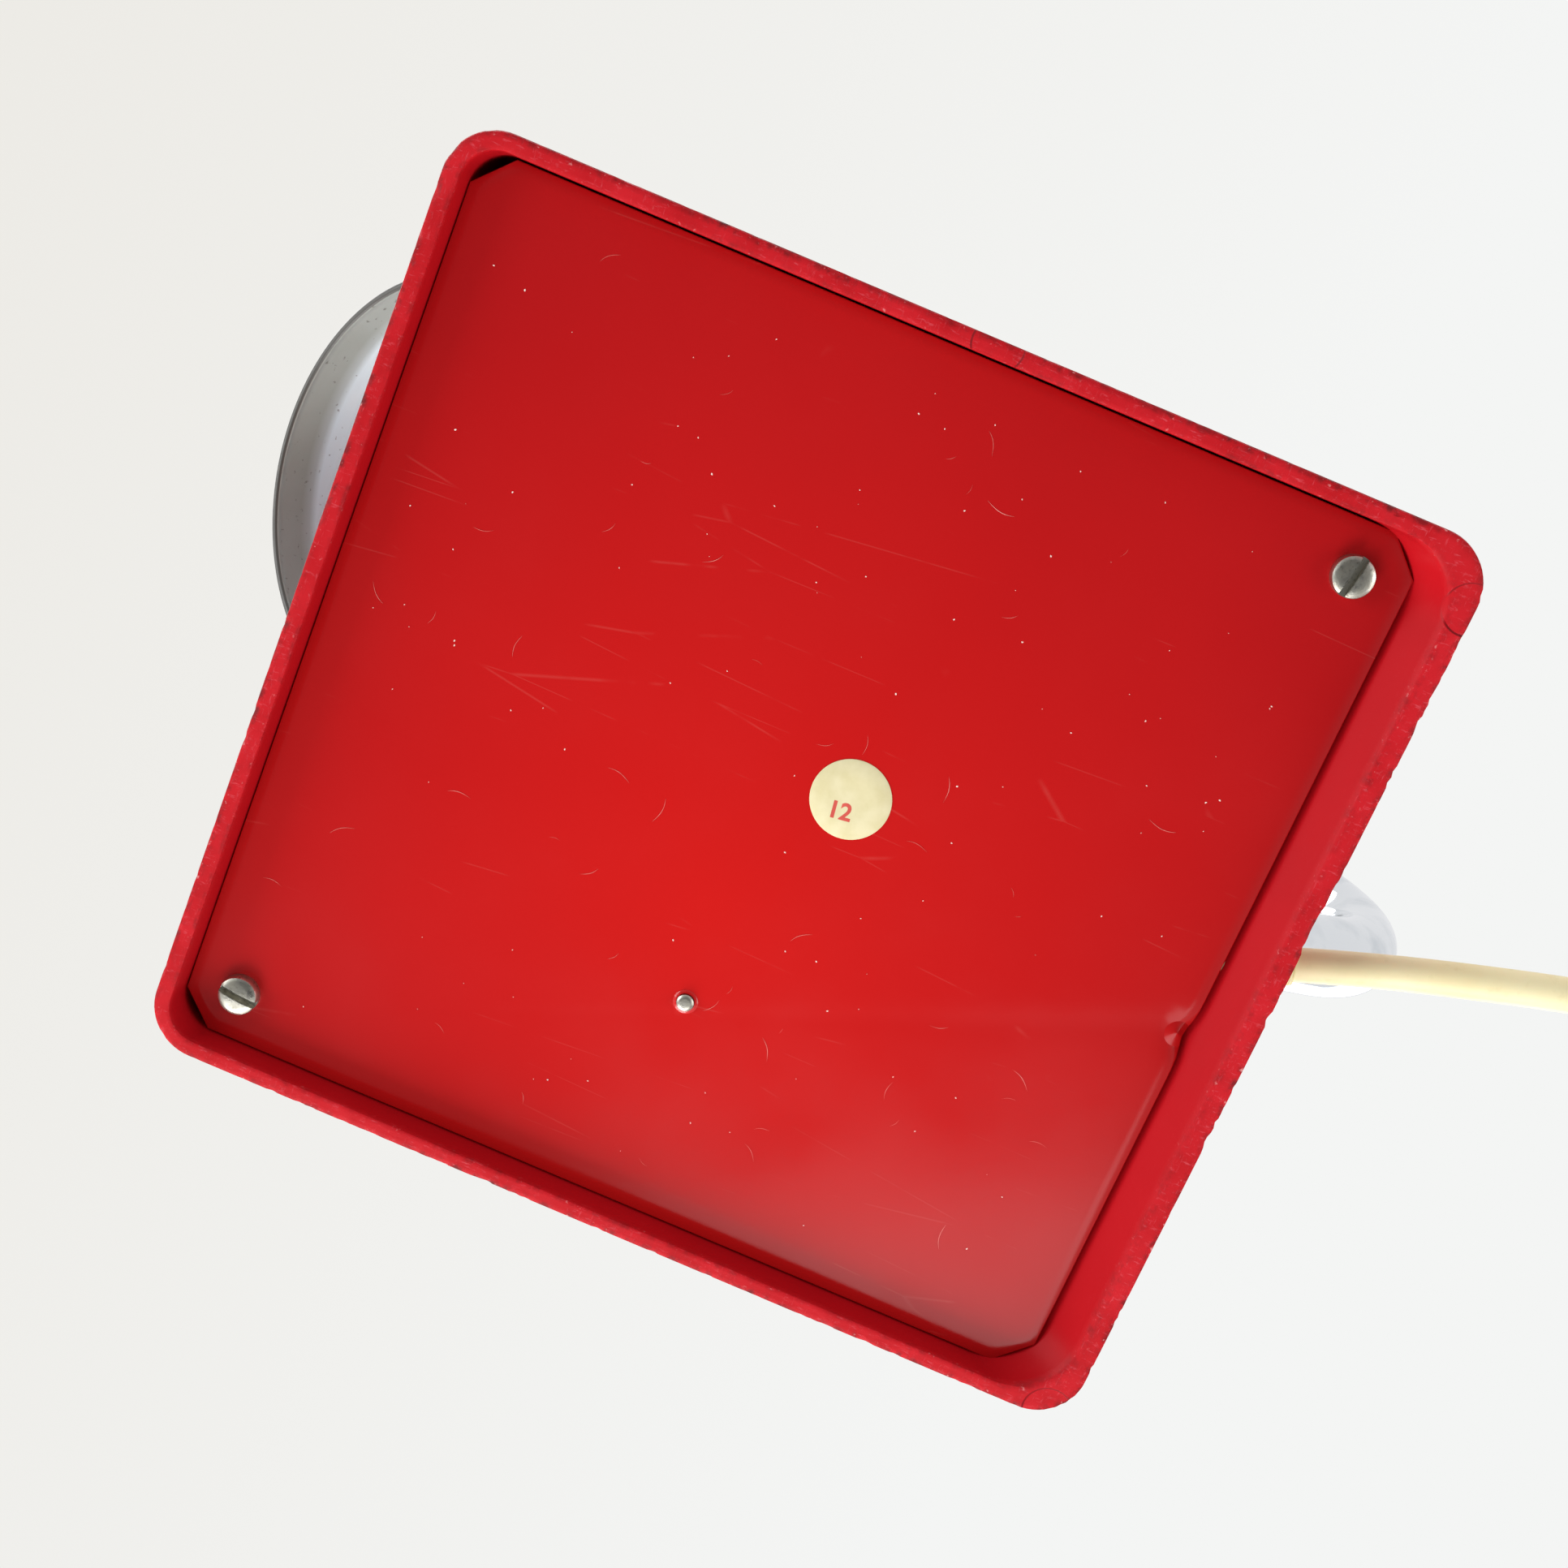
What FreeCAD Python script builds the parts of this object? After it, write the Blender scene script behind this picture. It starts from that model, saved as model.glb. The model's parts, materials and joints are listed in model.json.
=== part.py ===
import FreeCAD, Part
import math
import os

# A small swan-neck lamp: moulded base with ballast, chromed arm, tilting head and mains lead.
# Millimetres, +Z up. The origin is the centre of the base's rim plane, the head hangs
# over -Y and the mains lead leaves towards +Y.

V = FreeCAD.Vector

# base shell
base_depth = 175.0        # along Y, at the rim
base_width = 165.0        # along X, at the rim
base_height = 50.0
wall = 3.0
corner_radius = 9.0
top_edge_radius = 5.0
draft_deg = 1.0
rear_slope_deg = 36.0     # the rear face leans in by this much from upright
recess_depth = 6.0        # rim plane to the underside of the bottom plate

# bottom plate and what is screwed to it
plate_thickness = 1.5
plate_gap = 0.3           # plate edge to the side and front walls
plate_rear_gap = 1.5      # plate edge to the leaning rear wall
plate_chamfer = 5.9
boss_inset_x = 8.9        # screw axis to the inside of the side walls
boss_inset_y = 9.3        # screw axis to the plate's front and rear edges
boss_radius = 4.5
rest_post_radius = 3.5    # posts that only press on the plate's other corners
screw_head_radius = 3.5
screw_head_height = 2.6
screw_radius = 2.0
screw_length = 12.0
slot_width = 1.2
slot_depth = 1.2
fit_gap = 0.05            # a shaft in its hole, on the radius
clear_gap = 0.3           # a screw in its clearance hole, on the radius
ballast_size = V(110.0, 88.0, 14.0)
ballast_y = -26.0
ballast_edge = 3.0
ballast_screw_at = V(-39.5, -2.3, 0)
ballast_screw_radius = 1.5
ballast_head_radius = 2.75
ballast_screw_out = 1.0   # how far its cut end stands below the plate
sticker_at = V(4.8, 9.9, 0)
sticker_radius = 6.9
sticker_thickness = 0.15

# arm
tube_radius = 8.0
tube_wall = 1.5
arm_rear_out = 32.5       # how far its rearmost point is behind the rim, on the centreline
arm_rear_z = 88.0
arm_low_radius = 40.0
arm_lean_deg = 130.0      # direction of the long straight, 90 is upright
arm_top_radius = 50.0
arm_top_z = 226.3
tube_inside = 8.9         # tube end inside the rear face
collar_radius = 12.5
collar_length = 5.0
washer_thickness = 1.0
locknut_radius = 10.5
locknut_length = 4.5
lead_radius = 2.5
swivel_screw_radius = 1.5
swivel_screw_length = 3.4
swivel_screw_in = 6.0     # its axis from the tube's end

# pivot and head
pivot_y = -41.6
tilt_rest_deg = 34.5      # head axis from straight down, towards the front
tube_end_y = -22.0
tongue_thickness = 9.0
neck_height = 11.0
eye_radius = 7.0
pivot_radius = 2.5
pivot_head_radius = 4.2
pivot_head_height = 2.8
pivot_nut_radius = 4.4
pivot_nut_side = 3.6      # its straight part, below the dome
spigot_length = 12.0
shoulder_length = 4.0
friction_washer = 0.5
friction_washer_radius = 6.0
ear_thickness = 3.0
ear_gap = 0.1             # play each side of the washers
fork_base_radius = 12.0
fork_base_thickness = 3.0
nipple_radius = 4.0       # threaded tube that clamps the fork to the cap
nipple_bore = 2.8
nipple_nut_corner = 7.0
nipple_nut_height = 3.0
head_depth = 112.0        # opening to pivot, along the head's axis
shade_radius = 52.0
shade_band = 11.0
shade_dome = 41.0
shade_wall = 1.2
cap_low_radius = 20.0
cap_top_radius = 17.0
cap_top = 95.0
cap_wall = 1.5
holder_radius = 13.5
holder_low = 44.0
holder_top = 84.0
holder_mouth = 11.7
bulb_radius = 22.5
bulb_tip = 2.0
bulb_cap_radius = 6.9
bulb_cap_low = 53.0
bulb_cap_top = 76.0
glass_wall = 0.8

# wiring inside the base
small_boss_radius = 3.5
small_screw_radius = 1.25
small_screw_length = 9.0
small_head_radius = 2.5
small_head_height = 2.0
block_recess = 3.0
block_in = 52.5           # block centre from the rear rim
clip_in = 34.0            # clip screw from the rear rim
clip_strap = 0.7
clip_width = 7.0

# rocker switch
switch_at = V(45.0, -20.0, 0)
switch_length = 27.0
switch_width = 12.0
switch_depth = 20.0
bezel_edge = 2.0
bezel_height = 1.6
switch_wall = 1.0
rocker_radius = 11.0
rocker_gap = 0.3
rocker_slope_deg = 9.0
rocker_pin_radius = 1.2

# mains lead, relief, coil and plug
cord_radius = 3.0
cord_axis_z = 11.3
cord_turn_deg = 20.0      # the lead leaves this far round towards +X
relief_nose_out = 2.0     # how far the relief ends behind the rim
relief_length = 23.5
relief_radius = 3.7
relief_flange_radius = 5.0
relief_flange = 1.5
cord_boss_radius = 5.8
cord_boss_in = 4.5        # how far the boss ends inside the rim
cord_boss_length = 10.0
floor_z = cord_radius + 0.02
cord_exit_x = 7.0
cord_steps = [             # the lead's route, from its exit
    V(0, 0, 0),
    V(4.45, 12.22, 0),
    V(11.3, 28.5, 5.2 - cord_axis_z),
    V(16.4, 44.5, floor_z - cord_axis_z),
    V(20.9, 65.7, floor_z - cord_axis_z),
    V(27.2, 86.5, floor_z - cord_axis_z),
]
coil_inner_turn = 23.5
coil_pitch = 6.1
coil_turns = 4            # side by side, in each of two layers
plug_length = 36.0
plug_width = 33.0
plug_thickness = 13.7
plug_tail = 45.0          # lead between the coil and the plug
plug_angle_deg = 25.0     # where round the coil the tail leaves
pin_radius = 2.0
pin_length = 19.0
pin_spacing = 19.0

# places worked out from the sizes above
slope = math.radians(rear_slope_deg)
half_x = base_width / 2
half_y = base_depth / 2
arm_rear_y = half_y + arm_rear_out
relief_nose_y = half_y + relief_nose_out
cord_boss_y = half_y - cord_boss_in
cord_exit = V(cord_exit_x, relief_nose_y, cord_axis_z)
cord_route = [cord_exit + step for step in cord_steps]
plate_low = recess_depth
plate_top = recess_depth + plate_thickness
rear_normal = V(0, math.cos(slope), math.sin(slope))
inner_rear = half_y - wall / math.cos(slope)
plate_half_x = half_x - wall - math.tan(math.radians(draft_deg)) * plate_top - plate_gap
plate_front = -half_y + wall + plate_gap
plate_rear = inner_rear - plate_low * math.tan(slope) - plate_rear_gap
shell_top = base_height - wall
tilt = math.radians(tilt_rest_deg)
pivot = V(0, pivot_y, arm_top_z)
head_axis = V(0, math.sin(tilt), math.cos(tilt))
head_origin = pivot - head_axis * head_depth
boss_a = V(half_x - wall - boss_inset_x, plate_rear - boss_inset_y, 0)
boss_b = V(-boss_a.x, plate_front + boss_inset_y, 0)
rest_posts = [V(-boss_a.x, boss_a.y, 0), V(boss_a.x, boss_b.y, 0)]
block_at = V(-5.0, half_y - block_in, 9.0)
block_size = V(28.0, 18.0, 11.0)
block_boss = block_at + V(0, 0, block_size.z)
clip_ring_radius = cord_radius + clip_strap
clip_boss = V(-17.0, half_y - clip_in, cord_axis_z + clip_ring_radius)
lead_way = V(math.sin(math.radians(cord_turn_deg)), math.cos(math.radians(cord_turn_deg)), 0)
clip_back = (relief_nose_y - clip_boss.y) / lead_way.y


def cylinder(radius, height, at, direction=V(0, 0, 1)):
    return Part.makeCylinder(radius, height, at, direction)


def ring(outer, inner, height, at, direction=V(0, 0, 1)):
    return cylinder(outer, height, at, direction).cut(cylinder(inner, height, at, direction))


def box(size, low):
    return Part.makeBox(size.x, size.y, size.z, low)


def revolve(points):
    """Turns a closed outline of (radius, height) points about Z."""
    outline = [V(r, 0, z) for r, z in points]
    face = Part.Face(Part.makePolygon(outline + outline[:1]))
    return face.revolve(V(0, 0, 0), V(0, 0, 1), 360)


def rounded_outline(z, x, front, rear, radius):
    """A rectangle with round corners, from four lines and four arcs."""
    k = radius * (1 - math.sqrt(0.5))
    corners = [(x, rear, -1, -1), (-x, rear, 1, -1), (-x, front, 1, 1), (x, front, -1, 1)]
    edges = []
    ends = []
    for i, (cx, cy, sx, sy) in enumerate(corners):
        along_x = V(cx + sx * radius, cy, z)
        along_y = V(cx, cy + sy * radius, z)
        middle = V(cx + sx * k, cy + sy * k, z)
        first, last = (along_y, along_x) if i % 2 == 0 else (along_x, along_y)
        edges.append(Part.Arc(first, middle, last).toShape())
        ends.append((first, last))
    lines = [Part.makeLine(ends[i][1], ends[(i + 1) % 4][0]) for i in range(4)]
    return Part.Wire([e for pair in zip(edges, lines) for e in pair])


def wedge_shell(inset, z_low, z_high, radius):
    """A tapered block with the leaning rear face, inset from the outside faces."""
    wires = []
    for z in (z_low, z_high):
        lean_in = z * math.tan(math.radians(draft_deg))
        rear = half_y - inset / math.cos(slope) - z * math.tan(slope)
        wires.append(rounded_outline(z, half_x - inset - lean_in, -half_y + inset + lean_in, rear, radius))
    return Part.makeLoft(wires, True, True)


def round_route(points, bends=None):
    """Straight runs joined by tangent arcs of the given radii, or else as large as the runs allow."""
    edges = []
    radii = []
    start = points[0]
    for i in range(1, len(points) - 1):
        back = points[i - 1] - points[i]
        ahead = points[i + 1] - points[i]
        turn = math.pi - back.getAngle(ahead)
        if bends:
            bend = bends[i - 1]
        else:
            bend = 0.45 * min(back.Length, ahead.Length) / math.tan(turn / 2)
        reach = bend * math.tan(turn / 2)
        radii.append(bend)
        back.normalize()
        ahead.normalize()
        a = points[i] + back * reach
        b = points[i] + ahead * reach
        inward = back + ahead
        inward.normalize()
        middle = points[i] + inward * (bend / math.cos(turn / 2) - bend)
        edges.append(Part.LineSegment(start, a).toShape())
        edges.append(Part.Arc(a, middle, b).toShape())
        start = b
    edges.append(Part.LineSegment(start, points[-1]).toShape())
    return Part.Wire(edges), radii


def sweep(path, radius):
    first = path.Edges[0]
    circle = Part.Circle(first.Vertexes[0].Point, first.tangentAt(first.FirstParameter), radius)
    return path.makePipeShell([Part.Wire(circle.toShape())], True, False)


def cheese_screw(head_radius, head_height, radius, length, slot_deg):
    """Head below z = 0, shank above it."""
    head = cylinder(head_radius, head_height, V(0, 0, -head_height))
    low_edges = [e for e in head.Edges if e.BoundBox.ZMax < -head_height / 2 and e.BoundBox.XLength > 1]
    head = head.makeFillet(0.5, low_edges)
    slot_low = V(-1.5 * head_radius, -slot_width / 2, -head_height)
    slot = box(V(3 * head_radius, slot_width, slot_depth), slot_low)
    slot.rotate(V(0, 0, 0), V(0, 0, 1), slot_deg)
    return head.cut(slot).fuse(cylinder(radius, length, V(0, 0, 0))).removeSplitter()


def moved(shape, at):
    shape.translate(at)
    return shape


def on_head(shape):
    """Turns a piece made along +Z to the head's axis and puts it in place."""
    shape.rotate(V(0, 0, 0), V(1, 0, 0), -tilt_rest_deg)
    shape.translate(head_origin)
    return shape


def along_lead(shape):
    """Turns a piece made along +Z to the lead's way out, with z = 0 at the relief's nose."""
    shape.rotate(V(0, 0, 0), V(1, 0, 0), -90)
    shape.rotate(V(0, 0, 0), V(0, 0, 1), -cord_turn_deg)
    shape.translate(cord_exit)
    return shape


def arm_corners():
    """Where the arm leaves the rear face, and the two corners of its route before rounding."""
    low_centre = V(0, arm_rear_y - arm_low_radius, arm_rear_z)
    bend_start = low_centre + V(0, math.sin(slope), -math.cos(slope)) * arm_low_radius
    face_point = bend_start - rear_normal * (bend_start - V(0, half_y, 0)).dot(rear_normal)
    lean = math.radians(arm_lean_deg)
    lean_way = V(0, math.cos(lean), math.sin(lean))
    low = bend_start + rear_normal * (arm_low_radius * math.tan((lean - slope) / 2))
    top = low + lean_way * ((arm_top_z - low.z) / lean_way.z)
    return face_point, low, top


arm_face, arm_corner_low, arm_corner_top = arm_corners()
tube_start = arm_face - rear_normal * tube_inside


def arm_path(start, end_y):
    """The arm's centreline from start, on its first straight, to end_y on its last."""
    corners = [start, arm_corner_low, arm_corner_top, V(0, end_y, arm_top_z)]
    path, radii = round_route(corners, [arm_low_radius, arm_top_radius])
    return path


def base_housing():
    outside = wedge_shell(0, 0, base_height, corner_radius)
    top_edges = [e for e in outside.Edges if e.BoundBox.ZMin > base_height - 0.01]
    outside = outside.makeFillet(top_edge_radius, top_edges)
    shell = outside.cut(wedge_shell(wall, 0, shell_top, corner_radius - wall))
    posts = [(at, boss_radius) for at in (boss_a, boss_b)] + [(at, rest_post_radius) for at in rest_posts]
    for at, radius in posts:
        post = cylinder(radius, base_height - plate_top, at + V(0, 0, plate_top))
        shell = shell.fuse(post.common(outside))
    for at in (block_boss, clip_boss):
        shell = shell.fuse(cylinder(small_boss_radius, base_height - at.z, at).common(outside))
    boss = along_lead(cylinder(cord_boss_radius, 40, V(0, 0, -40)))
    boss = boss.common(box(V(60, cord_boss_length, 40), V(-30, cord_boss_y - cord_boss_length, 0)))
    inside_plate = box(V(60, plate_rear + plate_gap + 20, plate_top + 0.2), V(-30, -20, 0))
    shell = shell.fuse(boss.cut(inside_plate))
    shell = shell.cut(along_lead(cylinder(relief_radius + fit_gap, 60, V(0, 0, -60))))
    for at in (boss_a, boss_b):
        shell = shell.cut(cylinder(screw_radius + fit_gap, screw_length, at + V(0, 0, plate_top)))
    for at in (block_boss, clip_boss):
        shell = shell.cut(cylinder(small_screw_radius + fit_gap, small_screw_length, at))
    shell = shell.cut(cylinder(tube_radius + fit_gap, 40, arm_face - rear_normal * 20, rear_normal))
    opening = box(V(switch_width + 2 * fit_gap, switch_length + 2 * fit_gap, 20), V(0, 0, 0))
    opening.translate(V(-switch_width / 2 - fit_gap, -switch_length / 2 - fit_gap, shell_top - 10))
    opening.translate(switch_at)
    return shell.cut(opening).removeSplitter()


def bottom_plate():
    c = plate_chamfer
    x = plate_half_x
    lo = plate_front
    hi = plate_rear
    corners = [(x - c, lo), (x, lo + c), (x, hi - c), (x - c, hi)]
    corners += [(-px, py) for px, py in reversed(corners)]
    outline = [V(px, py, plate_low) for px, py in corners]
    plate = Part.Face(Part.makePolygon(outline + outline[:1])).extrude(V(0, 0, plate_thickness))
    for at in (boss_a, boss_b):
        plate = plate.cut(cylinder(screw_radius + clear_gap, plate_thickness, at + V(0, 0, plate_low)))
    hole = cylinder(ballast_screw_radius + fit_gap, plate_thickness, ballast_screw_at + V(0, 0, plate_low))
    return plate.cut(hole)


def plate_screws():
    made = []
    for at, slot_deg in ((boss_a, 9.0), (boss_b, 96.0)):
        screw = cheese_screw(screw_head_radius, screw_head_height, screw_radius, screw_length, slot_deg)
        made.append(moved(screw, at + V(0, 0, plate_low)))
    return Part.makeCompound(made)


def ballast_weight():
    size = ballast_size
    block = box(size, V(-size.x / 2, ballast_y - size.y / 2, plate_top))
    upper = [e for e in block.Edges if e.BoundBox.ZMin > plate_top + 1 or e.BoundBox.ZLength > 1]
    block = block.makeChamfer(ballast_edge, upper)
    return block.cut(cylinder(ballast_screw_radius + fit_gap, size.z, ballast_screw_at + V(0, 0, plate_top)))


def ballast_screw():
    top = plate_top + ballast_size.z
    low = plate_low - ballast_screw_out
    screw = cheese_screw(ballast_head_radius, small_head_height, ballast_screw_radius, top - low, 30.0)
    screw.rotate(V(0, 0, 0), V(1, 0, 0), 180)
    return moved(screw, ballast_screw_at + V(0, 0, top))


def sticker():
    return cylinder(sticker_radius, sticker_thickness, sticker_at + V(0, 0, plate_low - sticker_thickness))


def arm_tube():
    path = arm_path(tube_start, tube_end_y)
    tube = sweep(path, tube_radius).cut(sweep(path, tube_radius - tube_wall))
    low = V(0, tube_end_y + swivel_screw_in, arm_top_z - tube_radius - 4)
    return tube.cut(cylinder(swivel_screw_radius + fit_gap, tube_radius + 4, low))


def swivel_screw():
    """A short grub screw through the tube's wall whose tip stands in the spigot's groove."""
    foot = V(0, tube_end_y + swivel_screw_in, arm_top_z - tube_radius)
    return cylinder(swivel_screw_radius, swivel_screw_length, foot)


def arm_collar():
    collar = cylinder(collar_radius, collar_length, V(0, 0, 0))
    outer = [e for e in collar.Edges if e.BoundBox.ZMin > collar_length - 0.01 and e.BoundBox.XLength > 1]
    collar = collar.makeFillet(2.0, outer).cut(cylinder(tube_radius + fit_gap, collar_length, V(0, 0, 0)))
    collar.rotate(V(0, 0, 0), V(1, 0, 0), rear_slope_deg - 90)
    return moved(collar, arm_face)


def arm_washer():
    return ring(locknut_radius, tube_radius + fit_gap, washer_thickness,
                arm_face - rear_normal * (wall + washer_thickness), rear_normal)


def arm_locknut():
    nut = ring(locknut_radius, tube_radius + fit_gap, locknut_length,
               arm_face - rear_normal * (wall + washer_thickness + locknut_length), rear_normal)
    notch = box(V(3, 3, locknut_length), V(-1.5, locknut_radius - 1.2, 0))
    for turn in range(6):
        one = notch.copy()
        one.rotate(V(0, 0, 0), V(0, 0, 1), 60 * turn + 30)
        one.rotate(V(0, 0, 0), V(1, 0, 0), rear_slope_deg - 90)
        one.translate(arm_face - rear_normal * (wall + washer_thickness + locknut_length))
        nut = nut.cut(one)
    return nut


def arm_lead():
    block_rear = block_at.y + block_size.y / 2
    reach = (tube_start.y - block_rear + 4) / rear_normal.y
    path = arm_path(tube_start - rear_normal * reach, tube_end_y + spigot_length + 1)
    lead = sweep(path, lead_radius)
    return lead.cut(box(V(40, 40, 60), V(-20, block_rear - 40, 0)))


def terminal_block():
    size = block_size
    block = box(size, V(block_at.x - size.x / 2, block_at.y - size.y / 2, block_at.z))
    block = block.cut(cylinder(small_screw_radius + clear_gap, size.z, block_at))
    block = block.cut(cylinder(small_head_radius + clear_gap, block_recess, block_at))
    for x in (-9.0, 9.0):
        block = block.cut(cylinder(2.0, 4.0, block_at + V(x, 0, 0)))
    return block


def terminal_screw():
    length = block_size.z - block_recess + small_screw_length - 1
    screw = cheese_screw(small_head_radius, small_head_height, small_screw_radius, length, 15.0)
    return moved(screw, block_at + V(0, 0, block_recess))


def supply_lead():
    block_rear = block_at.y + block_size.y / 2
    lead = along_lead(cylinder(cord_radius, 80, V(0, 0, -80)))
    return lead.cut(box(V(80, 60, 40), V(-60, block_rear - 60, 0)))


def lead_clip():
    """A strap round the lead with an ear under the clip's boss."""
    hold = cord_exit - lead_way * clip_back
    strap_low = V(0, 0, -clip_back - clip_width / 2)
    strap = along_lead(ring(clip_ring_radius, cord_radius + fit_gap, clip_width, strap_low))
    ear_low = V(clip_boss.x - 4, clip_boss.y - clip_width / 2, clip_boss.z - clip_strap)
    ear = box(V(hold.x - ear_low.x, clip_width, clip_strap), ear_low)
    ear = ear.cut(cylinder(small_screw_radius + clear_gap, 3, clip_boss - V(0, 0, 2)))
    clip = strap.fuse(ear).cut(along_lead(cylinder(cord_radius + fit_gap, 80, V(0, 0, -80))))
    return clip.removeSplitter()


def clip_screw():
    screw = cheese_screw(small_head_radius, small_head_height, small_screw_radius, small_screw_length, 70.0)
    return moved(screw, clip_boss - V(0, 0, clip_strap))


def strain_relief():
    """A soft sleeve through the cord boss, with a flange outside and a tapering nose."""
    bore = cord_radius + 0.02
    flange_far = (cord_boss_y - relief_nose_y) / lead_way.y
    flange_far += relief_flange_radius * math.tan(math.radians(cord_turn_deg))
    outline = [
        (bore, -relief_length), (relief_radius, -relief_length), (relief_radius, flange_far),
        (relief_flange_radius, flange_far), (relief_flange_radius, flange_far + relief_flange),
        (relief_radius + 0.5, flange_far + relief_flange + 0.4), (relief_radius - 0.2, 0), (bore, 0),
    ]
    return along_lead(revolve(outline))


def tilt_tongue():
    eye = cylinder(eye_radius, tongue_thickness, pivot + V(-tongue_thickness / 2, 0, 0), V(1, 0, 0))
    shoulder_y = tube_end_y - shoulder_length
    neck_length = shoulder_y - pivot_y
    neck_low = pivot - V(tongue_thickness / 2, 0, neck_height / 2)
    neck = box(V(tongue_thickness, neck_length, neck_height), neck_low)
    shoulder = cylinder(tube_radius, shoulder_length, V(0, shoulder_y, arm_top_z), V(0, 1, 0))
    bore = tube_radius - tube_wall
    spigot = cylinder(bore - fit_gap, spigot_length, V(0, tube_end_y, arm_top_z), V(0, 1, 0))
    tongue = eye.fuse(neck).fuse(shoulder).fuse(spigot)
    groove = ring(bore + 1, bore - 2.2, 3.6, V(0, tube_end_y + 4.2, arm_top_z), V(0, 1, 0))
    hole = cylinder(pivot_radius + fit_gap, 40, pivot + V(-20, 0, 0), V(1, 0, 0))
    return tongue.cut(groove).cut(hole).removeSplitter()


def ear_inner():
    return tongue_thickness / 2 + friction_washer + ear_gap


def head_fork():
    plate = cylinder(fork_base_radius, fork_base_thickness, V(0, 0, cap_top))
    fork = plate
    for side in (-1, 1):
        x = ear_inner() if side > 0 else -ear_inner() - ear_thickness
        upright = box(V(ear_thickness, 2 * eye_radius, head_depth - cap_top), V(x, -eye_radius, cap_top))
        fork = fork.fuse(upright).fuse(cylinder(eye_radius, ear_thickness, V(x, 0, head_depth), V(1, 0, 0)))
    reach = ear_inner() + ear_thickness
    fork = fork.cut(cylinder(pivot_radius + fit_gap, 2 * reach + 4, V(-reach - 2, 0, head_depth), V(1, 0, 0)))
    return on_head(fork.cut(cylinder(nipple_radius + fit_gap, 10, V(0, 0, cap_top - 1))).removeSplitter())


def fork_nipple():
    flange = ring(nipple_radius + 0.9, nipple_bore, 1.2, V(0, 0, cap_top + fork_base_thickness))
    stem = ring(nipple_radius, nipple_bore, 10.0 + fork_base_thickness, V(0, 0, cap_top - 10.0))
    return on_head(flange.fuse(stem).removeSplitter())


def nipple_nut():
    corners = [math.radians(60 * i) for i in range(6)]
    outline = [V(nipple_nut_corner * math.cos(a), nipple_nut_corner * math.sin(a), 0) for a in corners]
    nut = Part.Face(Part.makePolygon(outline + outline[:1])).extrude(V(0, 0, nipple_nut_height))
    nut = nut.cut(cylinder(nipple_radius + fit_gap, nipple_nut_height, V(0, 0, 0)))
    return on_head(moved(nut, V(0, 0, cap_top - cap_wall - nipple_nut_height)))


def pivot_screw():
    reach = ear_inner() + ear_thickness
    screw = cheese_screw(pivot_head_radius, pivot_head_height, pivot_radius, 2 * reach + 6.0, 20.0)
    screw.rotate(V(0, 0, 0), V(0, 1, 0), 90)
    return on_head(moved(screw, V(-reach, 0, head_depth)))


def pivot_nut():
    reach = ear_inner() + ear_thickness
    dome = Part.makeSphere(pivot_nut_radius).common(box(V(10, 10, 5), V(-5, -5, 0)))
    nut = cylinder(pivot_nut_radius, pivot_nut_side, V(0, 0, 0)).fuse(moved(dome, V(0, 0, pivot_nut_side)))
    nut = nut.cut(cylinder(pivot_radius + fit_gap, 6.2, V(0, 0, 0))).removeSplitter()
    nut.rotate(V(0, 0, 0), V(0, 1, 0), 90)
    return on_head(moved(nut, V(reach, 0, head_depth)))


def pivot_washers():
    made = []
    for side in (-1, 1):
        x = side * (tongue_thickness / 2 + ear_gap / 2)
        at = V(x, 0, head_depth)
        made.append(ring(friction_washer_radius, pivot_radius + fit_gap, friction_washer, at, V(side, 0, 0)))
    return on_head(Part.makeCompound(made))


def dome_edges(inset):
    """The shade's outline in XZ, from the opening to the flat top."""
    centre = V(shade_radius - shade_dome, 0, shade_band)
    bend = shade_dome - inset
    low = V(shade_radius - inset, 0, 0)
    side = V(shade_radius - inset, 0, shade_band)
    middle = centre + V(bend * math.sqrt(0.5), 0, bend * math.sqrt(0.5))
    top = centre + V(0, 0, bend)
    axis_top = V(0, 0, top.z)
    edges = [Part.makeLine(low, side), Part.Arc(side, middle, top).toShape(), Part.makeLine(top, axis_top)]
    edges += [Part.makeLine(axis_top, V(0, 0, 0)), Part.makeLine(V(0, 0, 0), low)]
    return Part.Face(Part.Wire(edges)).revolve(V(0, 0, 0), V(0, 0, 1), 360)


def head_shade():
    shade = dome_edges(0).cut(dome_edges(shade_wall))
    return on_head(shade.cut(cylinder(holder_radius + clear_gap, 20, V(0, 0, shade_band + shade_dome - 10))))


def rear_cap():
    low = shade_band + shade_dome - 6
    outer = revolve([(0, low), (cap_low_radius, low), (cap_top_radius, cap_top), (0, cap_top)])
    top_edge = [e for e in outer.Edges if e.BoundBox.ZMin > cap_top - 0.01 and e.BoundBox.XLength > 1]
    outer = outer.makeFillet(3.0, top_edge)
    inner_top = cap_top - cap_wall
    inner = revolve([(0, low), (cap_low_radius - cap_wall, low), (cap_top_radius - cap_wall, inner_top),
                     (0, inner_top)])
    cap = outer.cut(inner).cut(dome_edges(0))
    return on_head(cap.cut(cylinder(nipple_radius + fit_gap, 10, V(0, 0, cap_top - 5))))


def lampholder():
    shade_top = shade_band + shade_dome
    outline = [
        (holder_mouth, holder_low), (holder_radius, holder_low), (holder_radius, shade_top),
        (16.5, shade_top), (16.5, shade_top + 3), (holder_radius, shade_top + 3),
        (holder_radius, holder_top), (0, holder_top), (0, bulb_cap_top + 1.6),
        (bulb_cap_radius + 0.3, bulb_cap_top + 1.6), (bulb_cap_radius + 0.3, bulb_cap_low + 2),
        (holder_mouth, bulb_cap_low + 2),
    ]
    return on_head(revolve(outline))


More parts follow.
